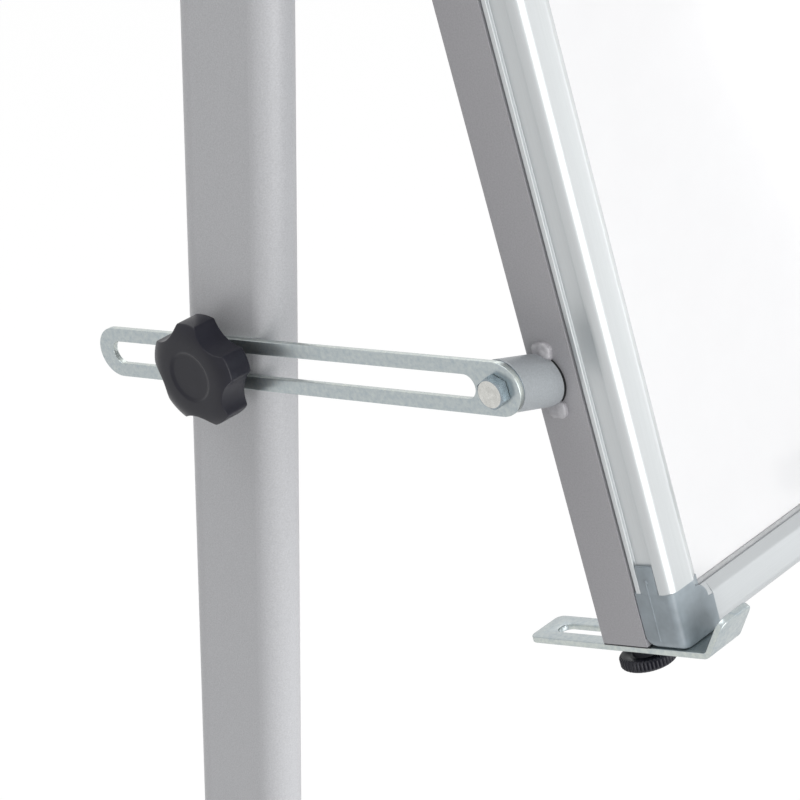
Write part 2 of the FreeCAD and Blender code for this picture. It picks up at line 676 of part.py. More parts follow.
def castor_brake(name, side, end):
    """Foot pedal on a pin between the housing's ears."""
    label = "castor_brake_" + name
    half = across("pedal_width / 2")
    y, z = PEDAL_AXIS
    hub = cylinder(label + "_hub", "pedal_hub / 2", *half, "x", PEDAL_AXIS)
    pin = cylinder(label + "_pin", "pedal_pin / 2",
                   *across("pedal_width / 2 + web_gap + ear_thickness"), "x", PEDAL_AXIS)
    tread = box(label + "_tread", half, (y, "%s + pedal_length" % y),
                ("%s - pedal_thickness / 2" % z, "%s + pedal_thickness / 2" % z))
    keep(label, fuse(label, hub, pin, tread), castor_place(side, end))


# ---------------------------------------------------------------- board: carrier tubes

def screw_heights():
    return "lower_screw_height", "upper_screw_height"


def tube(side_name, side):
    """Square carrier tube behind the frame, from the hook to the board's top edge."""
    body = new_body("tube_" + side_name)
    section = sketch_on(body, "XY_Plane", body.Name + "_section", "-tube_below_pivot")
    rectangle(section, ("-tube_width / 2", "tube_width / 2"), ("-frame_back", "tube_behind_pivot"))
    length = "board_top - plug_flange + tube_below_pivot"
    pad(body, section, length)
    soften(body, "tube_radius", runs_along(Z_AXIS))
    hollow = sketch_on(body, "XY_Plane", body.Name + "_hollow")
    rectangle(hollow, ("tube_wall - tube_width / 2", "tube_width / 2 - tube_wall"),
              ("tube_wall - frame_back", "tube_behind_pivot - tube_wall"))
    pocket(body, hollow)
    hinge = sketch_on(body, "YZ_Plane", body.Name + "_hinge_hole")
    circle(hinge, "bolt_diameter / 2 + bolt_clearance", "-hinge_ahead", "hinge_to_pivot")
    pocket(body, hinge)
    screws = sketch_on(body, "XZ_Plane", body.Name + "_screw_holes")
    for height in screw_heights():
        circle(screws, "screw_diameter / 2 + bolt_clearance",
               "%d * (tube_width / 2 - screw_inset)" % side, height)
    pocket(body, screws)
    keep(body.Label, body, BOARD, place("%d * tube_x" % side))


def tube_plugs():
    """Plastic plugs; the lower two are bored for the thumb screws."""
    half = "tube_width / 2"
    inner = "(tube_wall + plug_clearance)"
    flange = box("plug_flange_plate", ("-" + half, half), ("-frame_back", "tube_behind_pivot"),
                 ("-plug_flange", "0"))
    stem = box("plug_stem", ("%s - %s" % (inner, half), "%s - %s" % (half, inner)),
               ("%s - frame_back" % inner, "tube_behind_pivot - " + inner), ("0", "plug_length"))
    upper = fuse("upper_plug", flange, stem)
    bore = cylinder("plug_bore", "stud_diameter / 2 + bolt_clearance", "-plug_flange - spare",
                    "plug_length + spare", at=("0", "-tube_middle"))
    lower = cut("lower_plug", upper, bore)
    over = FreeCAD.Rotation(X_AXIS, 180)
    below = [place("%d * tube_x" % side, 0, "-tube_below_pivot") for name, side in SIDES]
    above = []
    for name, side in SIDES:
        base = place("%d * tube_x" % side, "-2 * tube_middle", "board_top - plug_flange")
        above.append(FreeCAD.Placement(base.Base, over))
    keep("tube_plugs", group("tube_plugs", (lower, below), (upper, above)), BOARD)


def stub(side_name, side):
    """Leaning post from the tube to the link, with a weld above and below its root."""
    label = "stub_" + side_name
    outer = FreeCAD.Vector(side * size("stub_end"), 0, 0)
    root = FreeCAD.Vector(side * size("board_half"), -size("stub_lead"), -size("stub_drop"))
    run = root - outer
    post = doc.addObject("Part::Cylinder", label + "_post")
    bind(post, Radius="stub_diameter / 2", Height="3 * (stub_end - board_half)")
    post.Placement = FreeCAD.Placement(outer - run, FreeCAD.Rotation(Z_AXIS, run))
    ends = outward(side, "board_half", "stub_end")
    slab = box(label + "_slab", ends, across("stub_diameter"), across("2 * stub_diameter"))
    weld_end = "board_half + weld_width / 2"
    outside = size(weld_end)
    low, high = "stub_diameter / 2 - spare", "stub_diameter / 2 + weld_height"
    welds = []
    for bottom, top in ((low, high), ("-(%s)" % high, "-(%s)" % low)):
        lump = box(label + "_weld", outward(side, "board_half", weld_end),
                   ("-weld_front", "weld_length - weld_front"),
                   (bottom + " - stub_drop", top + " - stub_drop"))
        welds.append(rounded(label + "_weld_round", lump, "weld_round",
                             lambda edge: near(abs(edge.CenterOfMass.x), outside)))
    bore = cylinder(label + "_bore", "bolt_diameter / 2 + bolt_clearance", *ends, "x")
    return cut(label, fuse(label + "_solid", common(label + "_trimmed", post, slab), *welds), bore)


def stubs():
    masters = [(stub(name, side), [FLOOR]) for name, side in SIDES]
    keep("stubs", group("stubs", *masters), BOARD)


def link_bolts():
    """Pivot bolts of the links, and the rings between each link and its stub."""
    bolt = hex_bolt("link_bolt", "link_bolt_length")
    ring = cylinder("link_ring_blank", "stub_diameter / 2 - bolt_clearance", "0",
                    "ring_thickness - slide_gap", "x")
    bore = cylinder("link_ring_bore", "bolt_diameter / 2 + bolt_clearance", "-spare",
                    "ring_thickness + spare", "x")
    washer = cut("link_ring", ring, bore)
    bolts = [facing(side, "link_outer + slide_gap", 0, 0) for name, side in SIDES]
    rings = [facing(side, "link_inner - slide_gap", 0, 0) for name, side in SIDES]
    keep("link_bolts", group("link_bolts", (bolt, bolts), (washer, rings)), BOARD)


def link(side_name, side):
    """Slotted zinc bar with round ends."""
    label = "link_" + side_name
    body = new_body(label)
    plate = sketch_on(body, "YZ_Plane", label + "_outline")
    oval(plate, "-link_width / 2", "link_reach", "link_width", level=True)
    oval(plate, "slot_start", "slot_end", "slot_width", level=True)
    circle(plate, "bolt_diameter / 2 + bolt_clearance")
    pad(body, plate, "link_thickness", middle=True)
    keep(label, body, LINK, place("%d * (link_inner + link_thickness / 2)" % side))


# ---------------------------------------------------------------- board: frame and panel

def rail(label, length, spot, screwed=False):
    """Aluminium extrusion: open channel outside, screw chamber, and a slot for the panel."""
    body = new_body(label)
    section = sketch_on(body, "XY_Plane", label + "_section")
    face, back, lip = "-frame_front", "-frame_back", "-frame_back - rail_lip"
    bead = "rail_bead - frame_front"
    flange = "rail_width - rail_lip / 2"
    outline(section, [
        ("0", back), ("0", lip), ("channel_depth", lip), ("channel_depth", bead), ("0", bead), ("0", face), ("rail_face", face),
        ("rail_width", "shoulder_drop - frame_front"), ("rail_width", "-panel_front"),
        ("panel_inset", "-panel_front"), ("panel_inset", "-panel_back"), (flange, "-panel_back"),
        (flange, back)])
    rectangle(section, ("channel_depth + rail_wall", "panel_inset - rail_wall"),
              ("rail_wall - frame_front", "-frame_back - rail_wall"))
    pad(body, section, length, middle=True)
    front = size(face)
    soften(body, "frame_outer_radius", lambda edge: runs_along(Z_AXIS)(edge)
           and near(edge.CenterOfMass.x, 0) and near(edge.CenterOfMass.y, front))
    if screwed:
        screws = sketch_on(body, "XZ_Plane", label + "_screw_holes")
        middle = "(board_bottom + board_top) / 2"
        sign = "" if screwed == LEFT else "-"
        for height in screw_heights():
            circle(screws, "screw_diameter / 2 + bolt_clearance", "screw_inset",
                   "%s(%s - %s)" % (sign, height, middle))
        pocket(body, screws, "frame_back + rail_wall + spare", reverse=True)
    keep(label, body, BOARD, spot)


def rails():
    upright, level = "board_height - 2 * corner_reach", "board_width - 2 * corner_reach"
    middle = "(board_bottom + board_top) / 2"
    rail("rail_left", upright, place("-board_half", 0, middle), LEFT)
    rail("rail_right", upright, place("board_half", 0, middle, Y_AXIS, 180), RIGHT)
    rail("rail_bottom", level, place(0, 0, "board_bottom", Y_AXIS, -90))
    rail("rail_top", level, place(0, 0, "board_top", Y_AXIS, 90))


def corner(label, spot):
    """Plastic corner: a block flush with two rails, with legs and tabs inside both."""
    reach, face, back = "corner_reach", "-frame_front", "-frame_back"
    block = box(label + "_block", ("0", reach), (face, back), ("0", reach))
    front = size(face)

    def outer(edge):
        centre = edge.CenterOfMass
        return sum((near(centre.x, 0), near(centre.y, front), near(centre.z, 0))) == 2

    block = rounded(label + "_rounded", block, "frame_outer_radius", outer)
    inside = ("panel_inset", "corner_reach + spare")
    slot = box(label + "_panel_slot", inside, ("-panel_front", "-panel_back"), inside)
    open_part = ("rail_width", "corner_reach + spare")
    notch = box(label + "_notch", open_part, (face + " - spare", "0"), open_part)
    solids = [cut(label + "_cap", block, slot, notch)]
    gap = "leg_clearance"
    low, high = "channel_depth + rail_wall + " + gap, "panel_inset - rail_wall - " + gap
    deep = ("rail_wall - frame_front + " + gap, "-frame_back - rail_wall - " + gap)
    leg = ("corner_reach - spare", "corner_reach + corner_leg")
    tab = ("corner_reach - spare", "corner_reach + corner_tab")
    channel = ("rail_bead - frame_front + " + gap, "-frame_back - rail_lip - " + gap)
    solids.append(box(label + "_leg_up", (low, high), deep, leg))
    solids.append(box(label + "_leg_across", leg, deep, (low, high)))
    thin = ("0", "channel_depth - " + gap)
    solids.append(box(label + "_tab_up", thin, channel, tab))
    solids.append(box(label + "_tab_across", tab, channel, thin))
    keep(label, fuse(label, *solids), BOARD, spot)


def corners():
    corner("corner_bottom_left", place("-board_half", 0, "board_bottom"))
    corner("corner_bottom_right", place("board_half", 0, "board_bottom", Y_AXIS, -90))
    corner("corner_top_right", place("board_half", 0, "board_top", Y_AXIS, 180))
    corner("corner_top_left", place("-board_half", 0, "board_top", Y_AXIS, 90))


def panel():
    """Enamelled steel face, core board and steel back, held in the rails' slots."""
    edge = "panel_inset + leg_clearance"
    x = ("%s - board_half" % edge, "board_half - (%s)" % edge)
    z = ("board_bottom + " + edge, "board_top - (%s)" % edge)
    face, back = "-panel_front + sheet_steel", "-panel_back - sheet_steel"
    keep("writing_surface", box("writing_surface", x, ("-panel_front", face), z), BOARD,
         place(x[0], "-panel_front", z[0]))
    keep("core_panel", box("core_panel", x, (face, back), z), BOARD, place(x[0], face, z[0]))
    keep("back_sheet", box("back_sheet", x, (back, "-panel_back"), z), BOARD,
         place(x[0], back, z[0]))


def board_screws():
    """Screws that hold the frame to the tubes, from behind."""
    head = cylinder("board_screw_head", "screw_head / 2", "0", "screw_head_height", "y")
    shank = cylinder("board_screw_shank", "screw_diameter / 2", "-screw_length",
                     "screw_head_height / 2", "y")
    screw = fuse("board_screw", head, shank)
    spots = [place("%d * (board_half - screw_inset)" % side, "tube_behind_pivot", height)
             for name, side in SIDES for height in screw_heights()]
    keep("board_screws", group("board_screws", (screw, spots)), BOARD)


# ---------------------------------------------------------------- board: tray and paper holder

def pen_tray():
    body = new_body("pen_tray")
    section = sketch_on(body, "YZ_Plane", "pen_tray_section")
    back, front, floor = "-frame_front", "-frame_front - tray_depth", "board_bottom"
    inner_back, inner_front = back + " - tray_wall", front + " + tray_wall"
    outline(section, [
        (back, floor), (front, floor), (front, floor + " + tray_lip"),
        (inner_front, floor + " + tray_lip"), (inner_front, floor + " + tray_wall"),
        (inner_back, floor + " + tray_wall"), (inner_back, floor + " + tray_back"),
        (back, floor + " + tray_back")])
    pad(body, section, "tray_length", middle=True)
    keep("pen_tray", body, BOARD)
    plate = box("tray_end", ("0", "tray_end_thickness"), (front, back),
                (floor, floor + " + tray_back"))
    spots = [place("tray_length / 2"), place("-tray_length / 2 - tray_end_thickness")]
    keep("tray_ends", group("tray_ends", (plate, spots)), BOARD)


def paper_track():
    """Slotted strip along the top rail, with lugs that carry the clamp bar's pins."""
    body = new_body("track_strip")
    section = sketch_on(body, "YZ_Plane", "track_section")
    back, front = "-frame_front", "-frame_front - track_thickness"
    lips, floor = front + " + track_lips", front + " + track_lips + cavity_depth"
    low, high, middle = "track_bottom", "board_top", "(track_bottom + board_top) / 2"
    neck, wide = "track_slot / 2", "track_cavity / 2"
    outline(section, [
        (back, low), (front, low), (front, "%s - %s" % (middle, neck)),
        (lips, "%s - %s" % (middle, neck)), (lips, "%s - %s" % (middle, wide)),
        (floor, "%s - %s" % (middle, wide)), (floor, "%s + %s" % (middle, wide)),
        (lips, "%s + %s" % (middle, wide)), (lips, "%s + %s" % (middle, neck)),
        (front, "%s + %s" % (middle, neck)), (front, high), (back, high)])
    pad(body, section, "track_length", middle=True)
    solids = [body]
    for name, side in SIDES:
        x = outward(side, "track_length / 2", "track_length / 2 + lug_thickness")
        bottom = "clamp_axis - clamp_thickness"
        solids.append(box("lug_front_" + name, x, (front, back), (bottom, high)))
        solids.append(box("lug_tongue_" + name, x, (front, "-panel_front - clamp_gap"),
                          (bottom, "board_top - rail_width - clamp_gap")))
    holes = cylinder("lug_holes", "clamp_pin / 2", *across("track_length / 2 + lug_thickness"),
                     "x", ("-clamp_middle", "clamp_axis"))
    keep("paper_track", cut("paper_track", fuse("track_solid", *solids), holes), BOARD)
    pins = []
    for name, side in SIDES:
        run = outward(side, "track_length / 2 - 2 * lug_thickness", "track_length / 2 + lug_thickness")
        pin = cylinder("clamp_pin_" + name, "clamp_pin / 2", *run, "x",
                       ("-clamp_middle", "clamp_axis"))
        pins.append((pin, [FLOOR]))
    keep("clamp_pins", group("clamp_pins", *pins), BOARD)


def clamp_bar():
    """Bar that presses the paper to the board, hung on the track's pins."""
    half = across("track_length / 2 - clamp_gap")
    blade = box("clamp_blade", half, ("-clamp_middle - clamp_thickness / 2",
                                      "-clamp_middle + clamp_thickness / 2"),
                ("clamp_axis + clamp_thickness / 2 - clamp_height", "clamp_axis"))
    knuckle = cylinder("clamp_knuckle", "clamp_thickness / 2", *half, "x",
                       ("-clamp_middle", "clamp_axis"))
    bore = cylinder("clamp_bore", "clamp_pin / 2 + bolt_clearance", *half, "x",
                    ("-clamp_middle", "clamp_axis"))
    keep("clamp_bar", cut("clamp_bar", fuse("clamp_solid", blade, knuckle), bore), BOARD)


def paper_peg(side_name, side):
    """Peg on a foot that slides along the track's cavity."""
    label = "paper_peg_" + side_name
    gap = "slide_clearance"
    front = "-frame_front - track_thickness"
    middle = "(track_bottom + board_top) / 2"
    half = "(track_cavity / 2 - %s)" % gap
    neck = "(track_slot / 2 - %s)" % gap
    foot_y = (front + " + track_lips + " + gap, front + " + track_lips + cavity_depth - " + gap)
    foot_block = box(label + "_foot", across(half), foot_y,
                     ("%s - %s" % (middle, half), "%s + %s" % (middle, half)))
    neck_block = box(label + "_neck", across(neck), (front + " - " + gap, foot_y[0]),
                     ("%s - %s" % (middle, neck), "%s + %s" % (middle, neck)))
    centre = ("0", middle)
    collar = cylinder(label + "_collar", "peg_diameter / 2", front + " - peg_collar",
                      front + " - " + gap, "y", centre)
    pin = cylinder(label + "_pin", "peg_pin / 2", front + " - peg_height",
                   front + " - peg_collar", "y", centre)
    keep(label, fuse(label, foot_block, neck_block, collar, pin), BOARD,
         place("%d * peg_spread / 2" % side))


# ---------------------------------------------------------------- hooks and knobs

def hook(side_name, side):
    """Zinc strip under a tube's end: a slotted tail behind, a bent lip before the board."""
    label = "hook_" + side_name
    body = new_body(label)
    section = sketch_on(body, "YZ_Plane", label + "_section")
    lean = "lip_lean * 1deg"
    top, under = "hook_top", "hook_top - hook_thickness"
    tip_y = "-hook_seat - lip_length * cos(%s)" % lean
    tip_z = "hook_top + lip_length * sin(%s)" % lean
    outline(section, [
        ("hook_tail", top), ("-hook_seat", top), (tip_y, tip_z),
        ("%s - hook_thickness * sin(%s)" % (tip_y, lean),
         "%s - hook_thickness * cos(%s)" % (tip_z, lean)),
        ("-hook_seat - hook_thickness * tan(%s / 2)" % lean, under), ("hook_tail", under)])
    pad(body, section, "hook_width", middle=True)
    slot = sketch_on(body, "XY_Plane", label + "_slot")
    oval(slot, "-hook_slot_front", "hook_slot_back", "hook_slot_width")
    pocket(body, slot)
    seat, tail, thickness = size("hook_seat"), size("hook_tail"), size("hook_thickness")
    plate_top, half = size(top), size("hook_width / 2")

    def bend(edge):
        return runs_along(X_AXIS)(edge) and near(edge.CenterOfMass.y, -seat)

    def outer_bend(edge):
        centre = edge.CenterOfMass
        return (runs_along(X_AXIS)(edge) and centre.y < -seat
                and near(centre.z, plate_top - thickness))

    def tail_corner(edge):
        return runs_along(Z_AXIS)(edge) and near(edge.CenterOfMass.y, tail)

    def lip_corner(edge):
        centre = edge.CenterOfMass
        return near(abs(centre.x), half) and near(edge.Length, thickness) and centre.z > plate_top

    soften(body, "bend_radius", bend)
    soften(body, "bend_radius + hook_thickness", outer_bend)
    soften(body, "hook_tail_round", tail_corner)
    soften(body, "lip_round", lip_corner)
    keep(label, body, BOARD, place("%d * tube_x" % side))


def thumb_screw(side_name, side):
    label = "thumb_screw_" + side_name
    under = "(hook_top - hook_thickness - slide_gap)"
    at = ("0", "-tube_middle")
    hub = cylinder(label + "_hub", "thumb_hub / 2", under + " - thumb_hub_height", under, at=at)
    disc = cylinder(label + "_disc", "thumb_diameter / 2",
                    under + " - thumb_hub_height - thumb_thickness",
                    under + " - thumb_hub_height", at=at)
    disc = rounded(label + "_disc_round", disc, "thumb_round", is_rim)
    stud = cylinder(label + "_stud", "stud_diameter / 2", under + " - spare",
                    "thumb_stud_reach - tube_below_pivot", at=at)
    keep(label, fuse(label, hub, disc, stud), BOARD, place("%d * tube_x" % side))


def knob_place(side):
    """Knob axis at the mast, with the knob's own Z pointing away from the easel."""
    return place("%d * washer_outer" % side, 0, "stud_height", Y_AXIS, 90 * side)


def star_knob(side_name, side):
    """Crowned star knob: revolved, then scalloped between its lobes."""
    body = new_body("knob_" + side_name)
    profile = sketch_on(body, "XZ_Plane", body.Name + "_profile")
    top = "knob_hub_height + knob_height"
    rim = top + " - knob_crown"
    outline(profile, [
        ("0", "0"), ("knob_hub / 2", "0"), ("knob_hub / 2", "knob_hub_height"),
        ("knob_diameter / 2", "knob_hub_height"), ("knob_diameter / 2", rim),
        ("knob_valley", top + " - knob_crown / 6"), ("knob_recess / 2 + recess_depth", top), ("0", top)])
    turned = body.newObject("PartDesign::Revolution", body.Name + "_revolution")
    turned.Profile = profile
    turned.ReferenceAxis = (profile, ["V_Axis"])
    turned.Angle = 360
    doc.recompute()
    scallop = sketch_on(body, "XY_Plane", body.Name + "_scallop", "knob_hub_height")
    circle(scallop, "scallop_radius", "knob_valley + scallop_radius")
    first = pocket(body, scallop, "knob_height", reverse=True)
    valleys = body.newObject("PartDesign::PolarPattern", body.Name + "_valleys")
    valleys.Originals = [first]
    valleys.Axis = (scallop, ["N_Axis"])
    valleys.Angle = 360
    bind(valleys, Occurrences="knob_lobes")
    body.Tip = valleys
    doc.recompute()
    recess = sketch_on(body, "XY_Plane", body.Name + "_recess", top)
    circle(recess, "knob_recess / 2")
    pocket(body, recess, "recess_depth")
    bore = sketch_on(body, "XY_Plane", body.Name + "_bore")
    circle(bore, "stud_diameter / 2")
    pocket(body, bore, "stud_in_knob", reverse=True)
    keep(body.Label, body, knob_place(side), place(angle="knob_turned"))
    bottom = "stud_in_knob - stud_length"
    stud = cylinder("knob_stud_" + side_name, "stud_diameter / 2", bottom, "stud_in_knob")
    keep(stud.Label, stud, knob_place(side), place(0, 0, bottom))


def knob_washer(side_name, side):
    label = "knob_washer_" + side_name
    disc = cylinder(label + "_disc", "washer_diameter / 2", "-washer_thickness", "0")
    bore = cylinder(label + "_bore", "stud_diameter / 2 + plug_clearance",
                    "-washer_thickness - spare", "spare")
    keep(label, cut(label, disc, bore), knob_place(side))


# ---------------------------------------------------------------- build, check and write

def build():
    for side_name, side in SIDES:
        mast(side_name, side)
        foot(side_name, side)
        tube(side_name, side)
        link(side_name, side)
        hook(side_name, side)
        thumb_screw(side_name, side)
        star_knob(side_name, side)
        knob_washer(side_name, side)
        paper_peg(side_name, side)
    for maker in (mast_caps, foot_caps, frame_bolts, hinge_pieces, stud_inserts, castor_stems,
                  tube_plugs, stubs, link_bolts, rails, corners, panel, board_screws, pen_tray,
                  paper_track, clamp_bar):
        maker()
    cross_bar("upper_cross_bar", "upper_bar_height")
    cross_bar("lower_cross_bar", "lower_bar_height")
    for name, side, end in CORNERS:
        castor_housing(name, side, end)
        castor_wheels(name, side, end)
        if end == FRONT:
            castor_brake(name, side, end)


def check():
    doc.recompute()
    for item in doc.Objects:
        if "Invalid" in item.State or "Error" in item.State:
            raise RuntimeError("%s is %s" % (item.Label, item.State))
    for label, piece in NODES.items():
        if piece.Shape.isNull() or not piece.Shape.isValid():
            raise RuntimeError("%s has no valid shape" % label)


def write():
    os.makedirs("parts", exist_ok=True)
    for label, piece in NODES.items():
        piece.Shape.exportStep("parts/%s.step" % label)
    print("%d sub-parts written" % len(NODES))


build()
check()
write()
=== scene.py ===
import json
import math
import bmesh
import bpy
from mathutils import Matrix, Vector, noise


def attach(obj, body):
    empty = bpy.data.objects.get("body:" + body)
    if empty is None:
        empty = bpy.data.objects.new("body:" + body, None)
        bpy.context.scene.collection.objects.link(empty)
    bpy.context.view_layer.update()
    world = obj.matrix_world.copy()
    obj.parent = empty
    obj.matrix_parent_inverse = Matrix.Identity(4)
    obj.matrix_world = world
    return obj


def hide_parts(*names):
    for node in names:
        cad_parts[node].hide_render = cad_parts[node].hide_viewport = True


# Looks of the flipchart easel: detailed pieces, finishes, studio light and camera, all placed
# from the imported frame. Lengths are in millimetres, apart from those of the lamps, the floor
# and the camera, which are in metres.

MM = 0.001
SIDES = (("left", -1), ("right", 1))

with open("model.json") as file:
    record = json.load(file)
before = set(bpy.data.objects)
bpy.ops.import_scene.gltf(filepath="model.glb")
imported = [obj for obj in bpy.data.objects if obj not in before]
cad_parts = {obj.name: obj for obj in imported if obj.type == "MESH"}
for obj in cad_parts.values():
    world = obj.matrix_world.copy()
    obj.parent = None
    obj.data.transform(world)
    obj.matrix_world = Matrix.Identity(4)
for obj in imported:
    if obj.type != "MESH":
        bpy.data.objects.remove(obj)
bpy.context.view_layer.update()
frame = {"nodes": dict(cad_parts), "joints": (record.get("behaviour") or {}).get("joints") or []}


# ---------------------------------------------------------------- places from the frame

def joint(name):
    """A joint's record by its name."""
    return next(j for j in frame["joints"] if j["name"] == name)


def axes_matrix(x_axis, y_axis, z_axis, origin):
    """Frame with these axes and this origin."""
    turn = Matrix((x_axis, y_axis, z_axis)).transposed()
    return Matrix.Translation(origin) @ turn.to_4x4()


def outward_frame(side, origin):
    """Frame with +Z pointing away from the easel's middle plane."""
    return axes_matrix(Vector((0, 0, -side)), Vector((0, 1, 0)), Vector((side, 0, 0)), origin)


def extent(spots):
    """Lowest and highest corner of some points."""
    low = Vector([min(p[i] for p in spots) for i in range(3)])
    high = Vector([max(p[i] for p in spots) for i in range(3)])
    return low, high


def local_box(label, place):
    """Lowest and highest corner of a CAD node in the frame given by place, in millimetres."""
    into = place.inverted()
    return extent([into @ v.co / MM for v in frame["nodes"][label].data.vertices])


PIVOT = Vector(joint("link_swing_left")["pos_m"])
PIVOT.x = 0
OUT = Vector(joint("hook_slide_left")["axis"]).normalized()
UP = Vector(joint("thumb_turn_left")["axis"]).normalized()
ACROSS = Vector((1, 0, 0))
# On the board: X along its width, Y to its back, Z up its slope, from the links' front bolts.
BOARD = axes_matrix(ACROSS, -OUT, UP, PIVOT)


def link_matrix(side_name):
    """On a link: X across the easel, Y along the bar, Z square to both."""
    mesh = frame["nodes"]["link_" + side_name].data
    middle = sum((v.co for v in mesh.vertices), Vector()) / len(mesh.vertices)
    along = Vector((0, middle.y - PIVOT.y, middle.z - PIVOT.z)).normalized()
    return axes_matrix(ACROSS, along, ACROSS.cross(along), PIVOT)


# ---------------------------------------------------------------- material nodes

# Most values of a noise texture lie between these.
NOISE_LOW, NOISE_HIGH = 0.25, 0.75


def shade(name, color, metallic, roughness, **more):
    """Principled material with plain constant values, its node tree and its shader."""
    mat = bpy.data.materials.new(name)
    mat.use_nodes = True
    shader = mat.node_tree.nodes["Principled BSDF"]
    shader.inputs["Base Color"].default_value = (*color, 1)
    shader.inputs["Metallic"].default_value = metallic
    shader.inputs["Roughness"].default_value = roughness
    for key, value in more.items():
        shader.inputs[key.replace("_", " ")].default_value = value
    return mat, mat.node_tree, shader


def node(tree, kind, **settings):
    """New shader node, each setting going to its input or its property of that name."""
    made = tree.nodes.new("ShaderNode" + kind)
    for key, value in settings.items():
        if key in made.inputs:
            made.inputs[key].default_value = value
        else:
            setattr(made, key, value)
    return made


def object_coordinates(tree, stretch=(1, 1, 1)):
    """Object coordinates in millimetres, squeezed along an axis where a finish has a grain."""
    spot = node(tree, "TexCoord")
    mapping = node(tree, "Mapping", Scale=[s / MM for s in stretch])
    tree.links.new(spot.outputs["Object"], mapping.inputs["Vector"])
    return mapping.outputs["Vector"]


def speckle(tree, where, scale, detail=3.0, roughness=0.6):
    """Noise texture's value; scale is in specks to the millimetre."""
    grain = node(tree, "TexNoise", Scale=scale, Detail=detail, Roughness=roughness)
    tree.links.new(where, grain.inputs["Vector"])
    return grain.outputs["Fac"]


def color_by(tree, shader, value, stops):
    """Base colour that follows a texture's value over (position, colour) stops."""
    ramp = node(tree, "ValToRGB")
    band = ramp.color_ramp
    while len(band.elements) < len(stops):
        band.elements.new(0.5)
    for element, (position, color) in zip(band.elements, stops):
        element.position = position
        element.color = (*color, 1)
    tree.links.new(value, ramp.inputs["Fac"])
    tree.links.new(ramp.outputs["Color"], shader.inputs["Base Color"])


def roughness_by(tree, shader, value, at_low, at_high):
    """Roughness that follows a texture's value."""
    span = node(tree, "MapRange")
    span.inputs["From Min"].default_value = NOISE_LOW
    span.inputs["From Max"].default_value = NOISE_HIGH
    span.inputs["To Min"].default_value = at_low
    span.inputs["To Max"].default_value = at_high
    tree.links.new(value, span.inputs["Value"])
    tree.links.new(span.outputs["Result"], shader.inputs["Roughness"])


def bump(tree, shader, value, depth, strength):
    made = node(tree, "Bump", Strength=strength, Distance=depth * MM)
    tree.links.new(value, made.inputs["Height"])
    tree.links.new(made.outputs["Normal"], shader.inputs["Normal"])


def tint(color, factors):
    """The colour times one factor, or times a factor for each of its channels."""
    if not isinstance(factors, tuple):
        factors = (factors,) * 3
    return tuple(min(1.0, c * f) for c, f in zip(color, factors))


# ---------------------------------------------------------------- finishes

ZINC_COOL, ZINC_WARM = (0.84, 0.88, 0.92), (1.13, 1.12, 1.08)
DRAWN_STRETCH, FIBRE_STRETCH = 0.01, 0.2
PLASTIC_SHEEN = 0.05


def mottled(name, base, metallic, roughness, clouds, stops, sheen, relief, depth):
    """Finish whose colour and roughness follow soft clouds, over a fine relief.

    clouds and relief are a speckle's settings. sheen is the roughness where the clouds' value
    is low and where it is high.
    """
    mat, tree, shader = shade(name, base, metallic, roughness)
    where = object_coordinates(tree)
    cloud = speckle(tree, where, *clouds)
    color_by(tree, shader, cloud, stops)
    roughness_by(tree, shader, cloud, *sheen)
    bump(tree, shader, speckle(tree, where, *relief), depth, strength=0.5)
    return mat


def powder_coat(name, base):
    return mottled(name, base, metallic=0.1, roughness=0.42, clouds=(1.3, 2.0, 0.7),
                   stops=[(0.3, tint(base, 0.91)), (0.5, base), (0.72, tint(base, 1.1))],
                   sheen=(0.48, 0.36), relief=(0.9, 2.0), depth=0.05)


def zinc_plate(name, base):
    return mottled(name, base, metallic=0.9, roughness=0.32, clouds=(0.42, 5.0, 0.7),
                   stops=[(0.32, tint(base, ZINC_COOL)), (0.5, base),
                          (0.68, tint(base, ZINC_WARM))],
                   sheen=(0.40, 0.26), relief=(0.5, 3.0), depth=0.03)


def bolt_zinc(name, base):
    return mottled(name, base, metallic=0.9, roughness=0.24, clouds=(0.4, 4.0, 0.6),
                   stops=[(0.3, tint(base, 0.82)), (0.6, base), (0.8, tint(base, 1.15))],
                   sheen=(0.32, 0.2), relief=(1.2, 2.0), depth=0.02)


def anodised(name, axis, base):
    """Satin anodised aluminium with the fine drawn lines of an extrusion along an axis."""
    mat, tree, shader = shade(name, base, metallic=0.7, roughness=0.38)
    stretch = [DRAWN_STRETCH if i == axis else 1.0 for i in range(3)]
    lines = speckle(tree, object_coordinates(tree, stretch), scale=2.2)
    color_by(tree, shader, lines, [(0.3, tint(base, 0.98)), (0.5, base), (0.7, tint(base, 1.02))])
    roughness_by(tree, shader, lines, at_low=0.395, at_high=0.365)
    bump(tree, shader, lines, depth=0.0015, strength=0.15)
    return mat


def plastic(name, base, roughness, grain=0.8, depth=0.03, specular=0.5):
    """Moulded plastic with a fine etched grain."""
    mat, tree, shader = shade(name, base, 0.0, roughness, Specular_IOR_Level=specular)
    where = object_coordinates(tree)
    cloud = speckle(tree, where, scale=0.15, detail=2.0)
    color_by(tree, shader, cloud, [(0.3, tint(base, 0.9)), (0.7, tint(base, 1.1))])
    etched = speckle(tree, where, grain, detail=2.0)
    roughness_by(tree, shader, etched, roughness + PLASTIC_SHEEN, roughness - PLASTIC_SHEEN)
    bump(tree, shader, etched, depth, strength=0.4)
    return mat


